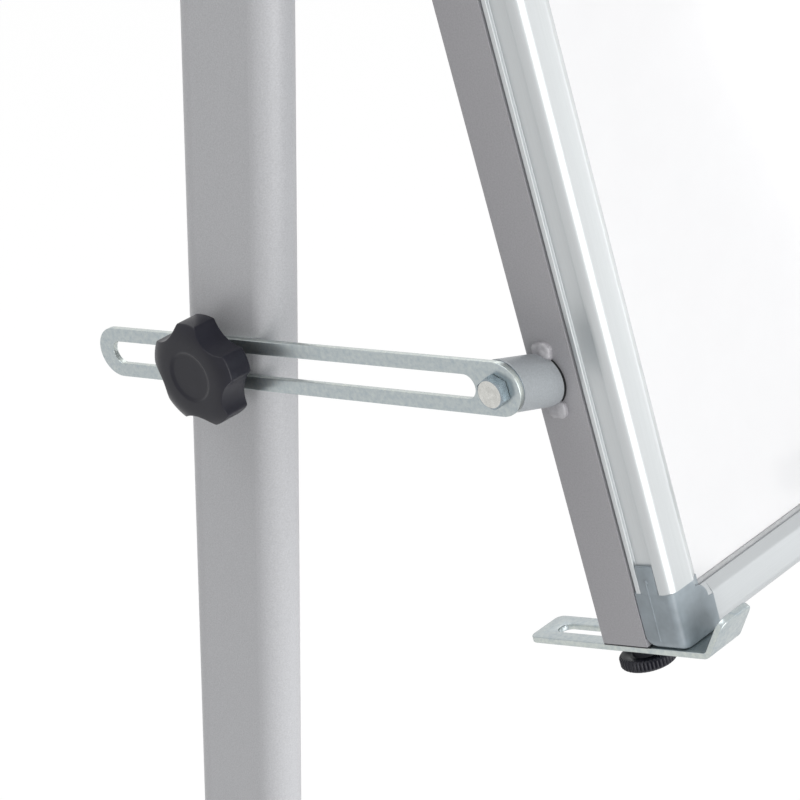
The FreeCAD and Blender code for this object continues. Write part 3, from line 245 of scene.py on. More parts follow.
def lacquer():
    """Gloss white writing surface with a very slight orange peel."""
    mat, tree, shader = shade("white_lacquer", (0.90, 0.90, 0.91), metallic=0.0, roughness=0.12,
                              Coat_Weight=0.3, Coat_Roughness=0.05)
    waves = speckle(tree, object_coordinates(tree), scale=0.05, detail=2.0)
    color_by(tree, shader, waves, [(0.3, (0.895, 0.895, 0.905)), (0.7, (0.905, 0.905, 0.915))])
    bump(tree, shader, waves, depth=0.02, strength=0.3)
    return mat


def galvanised():
    """Galvanised sheet with its spangle."""
    base = (0.55, 0.57, 0.58)
    mat, tree, shader = shade("galvanised_sheet", base, metallic=0.8, roughness=0.42)
    cells = node(tree, "TexVoronoi", Scale=0.12)
    tree.links.new(object_coordinates(tree), cells.inputs["Vector"])
    spangle = cells.outputs["Distance"]
    color_by(tree, shader, spangle, [(0.1, tint(base, 0.9)), (0.5, base), (0.9, tint(base, 1.15))])
    roughness_by(tree, shader, spangle, at_low=0.5, at_high=0.36)
    return mat


def fibre_board():
    """Brown pressed fibres of the board's core."""
    base = (0.50, 0.38, 0.25)
    mat, tree, shader = shade("fibre_core", base, metallic=0.0, roughness=0.85)
    where = object_coordinates(tree, (1, FIBRE_STRETCH, 1))
    fibres = speckle(tree, where, scale=0.8, detail=4.0)
    color_by(tree, shader, fibres, [(0.3, tint(base, 0.75)), (0.7, tint(base, 1.2))])
    bump(tree, shader, fibres, depth=0.1, strength=0.5)
    return mat


PAINT = powder_coat("silver_powder_coat", (0.59, 0.595, 0.615))
TUBE_PAINT = powder_coat("board_tube_coat", (0.44, 0.435, 0.455))
CAST = powder_coat("stub_coat", (0.38, 0.405, 0.425))
ZINC = zinc_plate("bright_zinc", (0.455, 0.50, 0.51))
# Paler copy of the zinc for the plates' edges: a painted highlight.
ZINC_EDGE_HIGHLIGHT = zinc_plate("zinc_edge_painted_highlight", (0.535, 0.575, 0.56))
BOLT = bolt_zinc("zinc_bolt", (0.65, 0.65, 0.62))
# Darker, bluer copy of the bolt zinc for flats and rims: painted shade.
BOLT_FLATS_SHADE = bolt_zinc("zinc_bolt_flats_painted_shade", (0.30, 0.35, 0.385))
# Near-black plastic painted as the shade inside the clearance beside each stub post's root.
PAINTED_GAP_SHADE = plastic("painted_gap_shade", (0.05, 0.05, 0.052), 0.7, grain=0.9, specular=0.2)
# The copy drawn along X is a little darker than the one along Z: painted shade on the level rails,
# pen tray, paper track and clamp bar.
DRAWN_X_SHADED = anodised("anodised_along_x_shaded", 0, (0.545, 0.568, 0.58))
DRAWN_Z = anodised("anodised_along_z", 2, (0.585, 0.608, 0.616))
KNOB_BLACK = plastic("knob_black", (0.014, 0.014, 0.022), 0.33, 0.9, depth=0.01, specular=0.3)
BLACK = plastic("black_nylon", (0.03, 0.03, 0.033), 0.48)
CORNER_GREY = plastic("corner_grey", (0.345, 0.398, 0.435), 0.34, grain=1.2, depth=0.015)
# Seal grey, partly painted contact shade between the rails and the writing surface.
GASKET_GREY_AND_SHADE = plastic("gasket_grey_and_painted_shade", (0.50, 0.51, 0.52), 0.55, grain=1.2, depth=0.02)
NYLON = plastic("natural_nylon", (0.82, 0.81, 0.77), 0.5)
TREAD = plastic("wheel_tread", (0.10, 0.10, 0.105), 0.7, grain=1.5, depth=0.05, specular=0.3)
LACQUER = lacquer()
BACK = galvanised()
CORE = fibre_board()


# ---------------------------------------------------------------- mesh helpers

SAME_SPOT, FLAT_ANGLE, SHARP_ANGLE, SMOOTH_ANGLE, ROUND_SEGMENTS = 1e-4, 0.6, 35, 32, 3


def piece(name, work, material, body, nodes, slot, place=Matrix(), angle=SMOOTH_ANGLE):
    """Make a piece from a bmesh in millimetres of place's frame.

    It is smooth apart from edges sharper than angle, in degrees. It rides on a body, and stands
    for any CAD nodes given.
    """
    bmesh.ops.recalc_face_normals(work, faces=work.faces)
    mesh = bpy.data.meshes.new(name + "_shape")
    work.to_mesh(mesh)
    work.free()
    for face in mesh.polygons:
        face.use_smooth = True
    mesh.set_sharp_from_angle(angle=math.radians(angle))
    mesh.transform(Matrix.Scale(MM, 4))
    mesh.materials.append(material)
    obj = bpy.data.objects.new(name, mesh)
    bpy.context.scene.collection.objects.link(obj)
    obj.matrix_world = place
    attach(obj, body)
    if nodes:
        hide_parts(*nodes)
    return obj


def round_edges(work, edges, radius):
    bmesh.ops.bevel(work, geom=edges, offset=radius, segments=ROUND_SEGMENTS, profile=0.5,
                    affect="EDGES", clamp_overlap=True)


def keep_refined(label, radius, material, body, slot, place=Matrix()):
    """Replace a CAD node by a copy of its mesh with its sharp edges rounded."""
    work = bmesh.new()
    work.from_mesh(frame["nodes"][label].data)
    work.transform(Matrix.Scale(1 / MM, 4) @ place.inverted())
    bmesh.ops.remove_doubles(work, verts=work.verts, dist=SAME_SPOT)
    bmesh.ops.dissolve_limit(work, angle_limit=math.radians(FLAT_ANGLE), verts=work.verts,
                             edges=work.edges)
    limit = math.radians(SHARP_ANGLE)
    sharp = [e for e in work.edges if len(e.link_faces) == 2 and e.calc_face_angle(0) > limit]
    if sharp:
        round_edges(work, sharp, radius)
    return piece(label + "_finished", work, material, body, [label], slot, place)


def paint_faces(obj, material, chosen):
    """Give a second material to the faces whose normal is chosen."""
    obj.data.materials.append(material)
    for face in obj.data.polygons:
        face.material_index = 1 if chosen(face.normal) else 0


def full_turn(steps):
    return [2 * math.pi * k / steps for k in range(steps)]


def lofted(rings, work=None, closed=False):
    """Skin through rings of as many points each, capped at both ends or joined into a loop."""
    work = work or bmesh.new()
    rows = [[work.verts.new(spot) for spot in ring] for ring in rings]
    count = len(rows[0])
    for lower, upper in zip(rows, rows[1:] + (rows[:1] if closed else [])):
        for k in range(count):
            follower = (k + 1) % count
            work.faces.new((lower[k], lower[follower], upper[follower], upper[k]))
    if not closed:
        work.faces.new(rows[0])
        work.faces.new(rows[-1])
    return work


def revolved(section, steps, spot):
    """Closed surface of a section's points round an axis: spot(point, turn) places each."""
    return lofted([[spot(point, turn) for turn in full_turn(steps)] for point in section])


def extrusion(outline, low, high, to_point, work=None):
    """Prism over a flat outline between two ends; to_point(u, v, w) places each point."""
    return lofted([[to_point(u, v, w) for u, v in outline] for w in (low, high)], work)


def rounded_outline(corners, steps):
    """Closed outline with its corners rounded: corners are (x, y, radius)."""
    spots = []
    count = len(corners)
    for i, (x, y, radius) in enumerate(corners):
        here = Vector((x, y))
        if radius <= 0:
            spots.append(here)
            continue
        before = (Vector(corners[i - 1][:2]) - here).normalized()
        after = (Vector(corners[(i + 1) % count][:2]) - here).normalized()
        half = before.angle(after) / 2
        centre = here + (before + after).normalized() * (radius / math.sin(half))
        start = here + before * (radius / math.tan(half)) - centre
        end = here + after * (radius / math.tan(half)) - centre
        sweep = start.angle_signed(end)
        for k in range(steps + 1):
            turned = start.copy()
            turned.rotate(Matrix.Rotation(-sweep * k / steps, 2))
            spots.append(centre + turned)
    return spots


# ---------------------------------------------------------------- star knobs

KNOB_LOBES, LOBE_STEPS, FACE_RINGS = 5, 72, 9
KNOB_TURNED = math.radians(-26)
SCALLOP_RADIUS, SCALLOP_CENTRE, LOBE_BLEND = 17.0, 37.4, 0.3
KNOB_RADIUS, KNOB_HUB_RADIUS, KNOB_HUB_HEIGHT, KNOB_BORE = 25.5, 13.0, 3.3, 3.2
RECESS_RADIUS, RECESS_RIM, RECESS_DEPTH = 12.5, 13.1, 0.8
CROWN_DROP, CROWN_CURVE = 2.8, 3.5
# Radius and height over the recess's floor, up to the start of the crowned face.
RECESS_SECTION = ((0.4, 0.0), (5.0, 0.0), (10.2, 0.0), (11.0, 0.04), (11.5, 0.2), (12.0, 0.52),
                  (12.3, 0.68), (12.65, 0.77))
# Distance in from the lobed outline, and down from the crowned face or up from the underside.
EDGE_SECTION = ((0.42, 0.0), (0.2, 0.04), (0.06, 0.16), (0.0, 0.38))
UNDER_SECTION = ((0.0, 4.0), (0.0, 0.9), (0.06, 0.5), (0.3, 0.14), (0.8, 0.0))


def lobe_radius(angle):
    """Radius of the lobed outline: a circle bitten by scallops, its corners slightly blended."""
    step = 2 * math.pi / KNOB_LOBES
    off = (angle + step / 2) % step - step / 2
    inside = SCALLOP_RADIUS ** 2 - (SCALLOP_CENTRE * math.sin(off)) ** 2
    if inside <= 0:
        return KNOB_RADIUS
    bite = SCALLOP_CENTRE * math.cos(off) - math.sqrt(inside)
    if bite > KNOB_RADIUS + 8 * LOBE_BLEND:
        return KNOB_RADIUS
    soft = math.exp(-(bite - KNOB_RADIUS) / LOBE_BLEND) + 1
    return KNOB_RADIUS - LOBE_BLEND * math.log(soft)


def knob_section(bottom, top, hub_end):
    """Rows of a radius, the share of the lobed outline added to it, a height, and whether that
    height is measured from the crowned face."""
    floor = top - RECESS_DEPTH
    rows = [(radius, 0.0, floor + rise, False) for radius, rise in RECESS_SECTION]
    for k in range(FACE_RINGS):
        share = k / FACE_RINGS
        rows.append((RECESS_RIM - (RECESS_RIM + EDGE_SECTION[0][0]) * share, share, 0.0, True))
    rows += [(-inset, 1.0, -drop, True) for inset, drop in EDGE_SECTION]
    rows += [(-inset, 1.0, bottom + rise, False) for inset, rise in UNDER_SECTION]
    hub = [(KNOB_HUB_RADIUS + 0.5, bottom), (KNOB_HUB_RADIUS, bottom - 0.4),
           (KNOB_HUB_RADIUS, hub_end + 0.5), (KNOB_HUB_RADIUS - 0.5, hub_end),
           (KNOB_BORE, hub_end)]
    return rows + [(radius, 0.0, z, False) for radius, z in hub]


def star_knob(side_name, side):
    """Knob with a crowned lobed face, a shallow round recess and a hub towards the mast."""
    body = "star_knob_" + side_name
    place = outward_frame(side, Vector(joint("knob_turn_" + side_name)["pos_m"]))
    low, high = local_box("knob_" + side_name, place)

    def crown(radius):
        share = max(0.0, (radius - RECESS_RADIUS) / (KNOB_RADIUS - RECESS_RADIUS))
        return high.z - CROWN_DROP * share ** CROWN_CURVE

    def spot_on(point, angle):
        radius, share, z, on_crown = point
        radius += share * lobe_radius(angle)
        z += crown(radius) if on_crown else 0.0
        turned = angle + KNOB_TURNED
        return Vector((radius * math.cos(turned), radius * math.sin(turned), z))

    section = knob_section(low.z + KNOB_HUB_HEIGHT, high.z, low.z)
    work = revolved(section, KNOB_LOBES * LOBE_STEPS, spot_on)
    piece(body, work, KNOB_BLACK, body, ["knob_" + side_name], "black_plastic", place, angle=40)
    keep_refined("knob_stud_" + side_name, 0.4, BOLT, body, "zinc_plate", place)
    keep_refined("knob_washer_" + side_name, 0.25, ZINC, "clamp_washer_" + side_name,
                 "zinc_plate", place)


# ---------------------------------------------------------------- thumb screws

KNURLS, KNURL_DEPTH, KNURL_STEPS, KNURL_CURVE = 44, 0.8, 6, 1.5
DISC_HEIGHT, SCREW_HUB_HEIGHT, SCREW_HUB_RADIUS, SCREW_RADIUS = 5.5, 4.5, 6.5, 3.0


def thumb_screw_section(radius, low, high):
    """Rows of a radius, a height and the share of the knurl, from below to the stud's end."""
    disc = low + DISC_HEIGHT
    hub = disc + SCREW_HUB_HEIGHT
    return [(0.3, low + 0.9, 0), (radius - 5.5, low + 0.9, 0), (radius - 4.6, low + 0.5, 0),
            (radius - 4.0, low, 0), (radius - 1.3, low, 0), (radius - 0.6, low + 0.35, 0.8),
            (radius, low + 1.0, 1), (radius, disc - 1.0, 1), (radius - 0.6, disc - 0.35, 0.8),
            (radius - 1.3, disc, 0), (radius - 3.6, disc, 0), (radius - 4.6, disc - 0.7, 0),
            (SCREW_HUB_RADIUS + 1.2, disc - 0.9, 0), (SCREW_HUB_RADIUS + 0.3, disc - 0.5, 0),
            (SCREW_HUB_RADIUS, disc + 0.4, 0), (SCREW_HUB_RADIUS, hub - 0.5, 0),
            (SCREW_HUB_RADIUS - 0.5, hub, 0), (SCREW_RADIUS + 0.2, hub, 0),
            (SCREW_RADIUS, hub + 0.2, 0), (SCREW_RADIUS, high - 0.8, 0),
            (SCREW_RADIUS - 0.8, high, 0)]


def thumb_screw(side_name):
    """Knurled disc with a hub and a stud, under the hook."""
    label = "thumb_screw_" + side_name
    low, high = local_box(label, BOARD)
    middle = (low + high) / 2
    place = BOARD @ Matrix.Translation(Vector((middle.x, middle.y, 0)) * MM)

    def spot_on(point, angle):
        radius, z, knurled = point
        wave = 0.5 - 0.5 * math.cos(KNURLS * angle)
        radius -= KNURL_DEPTH * knurled * wave ** KNURL_CURVE
        return Vector((radius * math.cos(angle), radius * math.sin(angle), z))

    section = thumb_screw_section((high.x - low.x) / 2, low.z, high.z)
    work = revolved(section, KNURLS * KNURL_STEPS, spot_on)
    piece(label + "_knurled", work, KNOB_BLACK, label, [label], "black_plastic", place, angle=38)


# ---------------------------------------------------------------- bolts

HEAD_FLATS, HEAD_HEIGHT, HEAD_CHAMFER, BOLT_STEPS = 13.0, 5.3, 0.95, 72
CHAMFER_SLOPE, CHAMFER_EASE = math.tan(math.radians(30)), 0.04
SHANK_RADIUS, NUT_BORE, NUT_LIP, LONGEST_NUT = 4.0, 4.4, 0.9, 12
WASHER_BORE, WASHER_EASE, NARROWEST_WASHER = 4.1, 0.3, HEAD_FLATS + 3
LINK_BOLT_TURN, TURN_SPREAD, TURN_STEP = math.radians(-7.4), 0.9, 3.7


def islands(label):
    """Boxes of the separate solids of a CAD node, in millimetres."""
    work = bmesh.new()
    work.from_mesh(frame["nodes"][label].data)
    bmesh.ops.remove_doubles(work, verts=work.verts, dist=SAME_SPOT * MM)
    unseen = set(work.verts)
    boxes = []
    while unseen:
        stack = [unseen.pop()]
        group = []
        while stack:
            vert = stack.pop()
            group.append(vert.co / MM)
            for edge in vert.link_edges:
                other = edge.other_vert(vert)
                if other in unseen:
                    unseen.remove(other)
                    stack.append(other)
        boxes.append(extent(group))
    work.free()
    return sorted(boxes, key=lambda pair: tuple(round(c, 3) for c in pair[0]))


def hex_radius(angle):
    sector = math.pi / 3
    off = (angle + sector / 2) % sector - sector / 2
    return HEAD_FLATS / 2 / math.cos(off)


def hex_head(work, place, base, height, shank, reach, turn):
    """Add a chamfered hexagon head with its shank; the head's top looks along place's +Z."""
    round_top = HEAD_FLATS / 2 * HEAD_CHAMFER
    shoulder = height - CHAMFER_EASE
    # Circles have a radius, hexagons a share of the full one. The chamfer gives one its height.
    section = [("circle", 0.2, height - 0.15), ("circle", round_top - 1.6, height - 0.12),
               ("circle", round_top - 0.9, height), ("circle", round_top, shoulder),
               ("chamfer", 1.0, 0.0), ("hexagon", 1.0, 0.35), ("hexagon", 0.97, 0.05),
               ("circle", shank, 0.0), ("circle", shank, -reach + 0.8),
               ("circle", shank - 0.8, -reach)]

    def spot_on(point, angle):
        form, size, z = point
        full = hex_radius(angle)
        radius = size if form == "circle" else size * full
        if form == "chamfer":
            z = shoulder - (full - round_top) * CHAMFER_SLOPE
        turned = angle + turn
        return place @ Vector((radius * math.cos(turned), radius * math.sin(turned), base + z))

    lofted([[spot_on(point, angle) for angle in full_turn(BOLT_STEPS)] for point in section], work)


def ring_washer(work, low, high, side):
    """Add a flat ring with rounded rims."""
    middle = (low + high) / 2
    radius, half = (high.y - low.y) / 2, (high.x - low.x) / 2
    eased_radius, eased_half = radius - WASHER_EASE, half - WASHER_EASE
    place = outward_frame(side, Vector((side * abs(middle.x), middle.y, middle.z)))
    section = [(WASHER_BORE, -half), (WASHER_BORE, half), (eased_radius, half),
               (radius, eased_half), (radius, -eased_half), (eased_radius, -half)]
    lofted([[place @ Vector((r * math.cos(a), r * math.sin(a), z)) for a in full_turn(BOLT_STEPS)]
            for r, z in section], work, closed=True)


def bolt_set(label, turn=0.0, body="stand"):
    """Bolts, nuts and washers of a CAD node, each hexagon but the first at a turn of its own."""
    work = bmesh.new()
    washers = []
    for number, (low, high) in enumerate(islands(label)):
        middle = (low + high) / 2
        side = -1 if middle.x < 0 else 1
        if max(high.y - low.y, high.z - low.z) >= NARROWEST_WASHER:
            washers.append((low, high, side))
            continue
        length = high.x - low.x
        outer = high.x if side > 0 else -low.x
        place = outward_frame(side, Vector((side * outer, middle.y, middle.z)))
        own = turn
        if number:
            own += noise.noise(Vector((number * TURN_STEP, 0.5, 0.5))) * TURN_SPREAD
        if length > LONGEST_NUT:
            hex_head(work, place, -HEAD_HEIGHT, HEAD_HEIGHT, SHANK_RADIUS, length - HEAD_HEIGHT,
                     own)
        else:
            hex_head(work, place, -length, length, NUT_BORE, NUT_LIP, own)
    for low, high, side in washers:
        ring_washer(work, low, high, side)
    obj = piece(label + "_finished", work, BOLT, body, [label], "zinc_plate", angle=24)
    # Faces not square to the bolts' axis take the darker copy: painted shade.
    paint_faces(obj, BOLT_FLATS_SHADE, lambda normal: abs(normal.x) < 0.95)


# ---------------------------------------------------------------- tubes and welded stubs

TUBE_EDGE, TUBE_WALL = 0.15, 1.5
STUB_RADIUS, STUB_BORE, STUB_LEAD, STUB_DROP, STUB_EASE = 11.9, 4.2, 1.0, 7.0, 0.35
STUB_GAP, NECK_DEPTH, ROUND_STEPS = 0.02, 2.4, 96
# The painted shade ring's middle is moved from the post's, and the post hides its inner part.
RING_SHIFT, RING_DROP, RING_WIDTH, RING_HIDDEN = 1.0, 0.2, 0.7, 2.0
RING_SUNK, RING_PROUD = 0.4, 0.08
WELD_MIDDLE, WELD_OUT, WELD_HALVES, WELD_BLUNT = -4.6, 1.3, (3.6, 5.0, 4.3), 0.72
WELD_WAVE, WAVE_SCALES = 0.16, (0.3, 0.35, 0.3)


def board_tubes():
    """Hollow tubes behind the board, with crisp long edges."""
    for side_name, side in SIDES:
        label = "tube_" + side_name
        low, high = local_box(label, BOARD)

        def ring(inset, height):
            left, right = low.x + inset, high.x - inset
            near, far = low.y + inset, high.y - inset
            outline = rounded_outline([(left, near, TUBE_EDGE), (right, near, TUBE_EDGE),
                                       (right, far, TUBE_EDGE), (left, far, TUBE_EDGE)], 6)
            return [Vector((p.x, p.y, height)) for p in outline]

        rings = [ring(0, low.z), ring(0, high.z), ring(TUBE_WALL, high.z), ring(TUBE_WALL, low.z)]
        piece(label + "_drawn", lofted(rings, closed=True), TUBE_PAINT, "board", [label],
              "grey_paint", BOARD, angle=30)


def tube_face(side_name, side):
    """Distance of a tube's outer side from the middle plane."""
    low, high = local_box("tube_" + side_name, BOARD)
    return abs(low.x if side < 0 else high.x)


def stub_posts():
    """Leaning round posts from the tubes to the links, narrow at the root, with their bores."""
    work = bmesh.new()
    outer = max(abs(v.co.x) for v in frame["nodes"]["stubs"].data.vertices) / MM
    lean = Vector((STUB_LEAD, STUB_DROP))
    along, across = lean.normalized(), Vector((-lean.y, lean.x)).normalized()
    for side_name, side in SIDES:
        root = tube_face(side_name, side)
        stretch = math.hypot(outer - root, lean.length) / (outer - root)
        section = [(root + STUB_GAP, STUB_RADIUS - NECK_DEPTH),
                   (root + 1.1, STUB_RADIUS - NECK_DEPTH), (root + 1.3, STUB_RADIUS - 0.4),
                   (root + 1.7, STUB_RADIUS), (outer - STUB_EASE, STUB_RADIUS),
                   (outer, STUB_RADIUS - STUB_EASE), (outer, STUB_BORE),
                   (root + STUB_GAP, STUB_BORE)]
        rows = []
        for x, radius in section:
            middle = -lean * (outer - x) / (outer - root)
            row = []
            for a in full_turn(ROUND_STEPS):
                spot = middle + (along * stretch * math.cos(a) + across * math.sin(a)) * radius
                row.append(Vector((side * x, spot.x, spot.y)))
            rows.append(row)
        lofted(rows, work, closed=True)
    piece("stub_posts", work, CAST, "board", ["stubs"], "grey_paint", BOARD, angle=40)


def gap_shade_rings():
    """Near-black rings of painted shade for the narrow clearance at each post's root on the tube.
    """
    work = bmesh.new()
    middle = Vector((RING_SHIFT - STUB_LEAD, -STUB_DROP - RING_DROP))
    outside, inside = STUB_RADIUS + RING_WIDTH, STUB_RADIUS - RING_HIDDEN
    for side_name, side in SIDES:
        root = tube_face(side_name, side)
        sunk, proud = root - RING_SUNK, root + RING_PROUD
        rows = []
        for x, radius in ((sunk, outside), (proud, outside), (proud, inside), (sunk, inside)):
            rows.append([Vector((side * x, middle.x + radius * math.cos(a),
                                 middle.y + radius * math.sin(a))) for a in full_turn(ROUND_STEPS)])
        lofted(rows, work, closed=True)
    piece("stub_gap_shade", work, PAINTED_GAP_SHADE, "board", ["stubs"], "grey_paint", BOARD, angle=40)


def stub_welds():
    """Soft low lumps of weld above and below each post's root."""
    work = bmesh.new()
    for side_name, side in SIDES:
        root = tube_face(side_name, side)
        for way in (-1, 1):
            height = -STUB_DROP + way * (STUB_RADIUS + WELD_OUT)
            middle = Vector((side * root, WELD_MIDDLE, height))
            made = bmesh.ops.create_uvsphere(work, u_segments=48, v_segments=24, radius=1.0)
            for vert in made["verts"]:
                spot = Vector([math.copysign(abs(c) ** WELD_BLUNT, c) * half
                               for c, half in zip(vert.co, WELD_HALVES)])
                wave = Vector([c * scale for c, scale in zip(spot, WAVE_SCALES)])
                wave.z += way
                vert.co = middle + spot * (1 + WELD_WAVE * noise.noise(wave))
    piece("stub_welds", work, TUBE_PAINT, "board", ["stubs"], "grey_paint", BOARD, angle=60)


# ---------------------------------------------------------------- frame rails and gasket

RAIL_FACE, RAIL_LIP, CHANNEL, RAIL_BEAD, PANEL_DROP = 16.6, 4.0, 1.8, 7.0, 5.0
SHOULDER_DROP, PANEL_INSET, RAIL_WALL, REBATE, GASKET = 3.8, 12.3, 1.5, 1.6, 1.5
RAIL_ROUND = 4.8
# The tongues start inside the corners' arms and lie this far below the rails' face.
TONGUE, TONGUE_START, TONGUE_DROP, TONGUE_OVERLAP = 9.0, 15.0, 0.35, 0.5
# Distance from the rail's inner edge, and depth below its face.
GASKET_SECTION = ((-GASKET - 0.2, PANEL_DROP), (-GASKET - 0.2, 4.1), (-0.1, 4.1), (0.35, 4.35),
                  (0.4, PANEL_DROP))


def shoulder_drop(width):
    """How far the sloping shoulder has dropped where it meets the gasket."""
    return SHOULDER_DROP * (width - GASKET - RAIL_FACE) / (width - RAIL_FACE)


def rail_outline(front, back, width):
    """Section of the rails: distance in from the outer edge, depth, and rounding."""
    slot_back = back - RAIL_WALL
    flange = width - RAIL_LIP / 2
    edge = width - GASKET
    return rounded_outline([
        (REBATE, back, 0.2), (REBATE, back - REBATE, 0.1), (0, back - REBATE, 0.35),
        (0, back - RAIL_LIP, 0.45), (CHANNEL, back - RAIL_LIP, 0.3),
        (CHANNEL, front + RAIL_BEAD, 0.3), (0, front + RAIL_BEAD, 0.6), (0, front, RAIL_ROUND),
        (RAIL_FACE, front, 3.0), (edge, front + shoulder_drop(width), 0.25),
        (edge, front + PANEL_DROP, 0.2), (PANEL_INSET, front + PANEL_DROP, 0.1),
        (PANEL_INSET, slot_back, 0.1), (flange, slot_back, 0.2), (flange, back, 0.4)], 6)


def rail_piece(label, work, material):
    piece(label + "_drawn", work, material, "board", [label], "silver_anodised", BOARD, angle=28)


def rails():
    """Drawn rails round the board; the level ones have tongues under the corners' lobes."""
    low, high = local_box("rail_left", BOARD)
    outline = rail_outline(low.y, high.y, high.x - low.x)
    edge = -low.x
    for side_name, side in SIDES:
        work = extrusion(outline, low.z, high.z, lambda u, v, w: Vector((side * (edge - u), v, w)))
        rail_piece("rail_" + side_name, work, DRAWN_Z)
    low, high = local_box("rail_bottom", BOARD)
    highest = local_box("rail_top", BOARD)[1].z
    width = high.z - low.z
    face, panel, gasket_edge = low.y + TONGUE_DROP, low.y + PANEL_DROP, width - GASKET
    tongue = [(TONGUE_START, face), (RAIL_FACE - 0.1, face),
              (gasket_edge, low.y + shoulder_drop(width)), (gasket_edge, panel),
              (TONGUE_START, panel)]
    for label, start, way in (("rail_bottom", low.z, 1), ("rail_top", highest, -1)):
        def at(u, v, w):
            return Vector((w, v, start + way * u))

        work = extrusion(outline, low.x, high.x, at)
        for end, side in ((low.x, -1), (high.x, 1)):
            extrusion(tongue, end - side * TONGUE_OVERLAP, end + side * TONGUE, at, work)
        # The level rails take the darker anodised copy: painted shade.
        rail_piece(label, work, DRAWN_X_SHADED)


def gasket():
    """Soft grey strip sealing the writing surface all round under the rails' shoulders; its grey is
    partly painted shade.
    """
    left, top = local_box("rail_left", BOARD), local_box("rail_top", BOARD)
    bottom = local_box("rail_bottom", BOARD)[0].z
    front = left[0].y
    width = left[1].x - left[0].x

    def ring(u, v):
        inside = width + u
        right, high, low = -left[0].x - inside, top[1].z - inside, bottom + inside
        return [Vector((x, front + v, z)) for x, z in
                ((-right, low), (right, low), (right, high), (-right, high))]

    work = lofted([ring(u, v) for u, v in GASKET_SECTION], closed=True)
    piece("panel_gasket", work, GASKET_GREY_AND_SHADE, "board", [], "grey_plastic", BOARD, angle=30)


# ---------------------------------------------------------------- frame corners

CORNER_REACH, CORNER_TAB, CORNER_LEG = 27.0, 13.0, 24.0
CORNER_ARM, LOBE_MIDDLE, LOBE_RADIUS, CORNER_ROUND, ARM_ROUND = 15.9, 16.4, 7.6, 4.5, 0.8
FRONT_ROUND, FRONT_EASE, REAR_ROUND, REAR_EASE, FINE_ROUND = 3.4, 1.3, 4.4, 1.3, 0.45
FACE_EASE, EASE_STEPS, FIT, TAB_EASE = 0.06, 8, 0.1, 0.5
LIP_START, LIP_FACE, LIP_EDGE, LIP_DROP, LIP_END = 15.0, 16.7, 23.1, 0.3, 17.0
RIDGE_RISE, RIDGE_HALF, RIDGE_START, RIDGE_BACK, RIDGE_SHORT = 0.32, 0.45, 4.2, 2.0, 7.2
PIP_HALVES, PIP_DOWN = (0.5, 0.9, 1.1), 0.3


def corner_outline(side_inset, end_inset, fine):
    """Front view of a corner: two short arms and a round lobe, drawn in from its outer edges."""
    arm, lobe = CORNER_ARM - fine, LOBE_RADIUS - fine
    rim = [(LOBE_MIDDLE + lobe * math.cos(a), LOBE_MIDDLE + lobe * math.sin(a), 0)
           for a in (math.radians(d) for d in range(-2, 93, 5))]
    return rounded_outline([(side_inset, end_inset, CORNER_ROUND), (CORNER_REACH, end_inset, 0),
                            (CORNER_REACH, arm, ARM_ROUND), *rim, (arm, CORNER_REACH, ARM_ROUND),
                            (side_inset, CORNER_REACH, 0)], 8)


def eased(radius, gone):
    """How far a rounded edge is drawn in at a depth below the face."""
    left = max(0.0, radius - gone)
    return radius - math.sqrt(radius ** 2 - left ** 2)


def corner_rings(depth):
    """Depths and insets (side edge, end edge, inner rim) of the rings from front to back."""
    rings = [(0.0, FRONT_ROUND + FACE_EASE, FRONT_EASE + FACE_EASE, FINE_ROUND + FACE_EASE)]
    turns = [math.pi / 2 * k / EASE_STEPS for k in range(EASE_STEPS + 1)]
    for turn in turns:
        gone = FRONT_ROUND * (1 - math.cos(turn))
        rings.append((gone, eased(FRONT_ROUND, gone), eased(FRONT_EASE, gone),
                      eased(FINE_ROUND, gone)))
    for turn in turns:
        gone = REAR_ROUND * (1 - math.sin(turn))
        rings.append((depth - gone, eased(REAR_EASE, gone), eased(REAR_ROUND, gone), 0.0))
    return rings


def corner_block(work, at, u, v, w, ease=0.0):
    """Add a box between two distances in each direction, its edges rounded.

    In every corner but the bottom left one the box's normals are out of date when its edges are
    rounded, so that they swell by up to 0.5 mm instead of being drawn in.
    """
    made = bmesh.ops.create_cube(work, size=1.0)["verts"]
    for vert in made:
        vert.co = at(*[ends[0] if c < 0 else ends[1] for ends, c in zip((u, v, w), vert.co)])
    if ease:
        edges = dict.fromkeys(edge for vert in made for edge in vert.link_edges)
        round_edges(work, list(edges), ease)


def corner_plugs(work, at, front, back):
    """Add the tabs that show in both rails' channels, and the legs inside both rails."""
    root = CORNER_REACH - 1
    channel = (front + RAIL_BEAD + FIT, back - RAIL_LIP - FIT)
    thin = (0.02, CHANNEL - FIT)
    inside = (CHANNEL + RAIL_WALL + FIT, PANEL_INSET - RAIL_WALL - FIT)
    deep = (front + RAIL_WALL + FIT, back - RAIL_WALL - FIT)
    tab, leg = (root, CORNER_REACH + CORNER_TAB), (root, CORNER_REACH + CORNER_LEG)
    corner_block(work, at, thin, channel, tab, TAB_EASE)
    corner_block(work, at, tab, channel, thin, TAB_EASE)
    corner_block(work, at, inside, deep, leg)
    corner_block(work, at, leg, deep, inside)


def corner_lip(work, at, front):
    """Add the lip that follows the upright rail's shoulder from the arm's end to the lobe."""
    panel = front + PANEL_DROP - 0.05
    lip = [(LIP_START, front + LIP_DROP), (LIP_FACE, front + LIP_DROP),
           (LIP_EDGE, front + SHOULDER_DROP - 0.1), (LIP_EDGE, panel), (LIP_START, panel)]
    extrusion(lip, LIP_END, CORNER_REACH - 0.2, at, work)


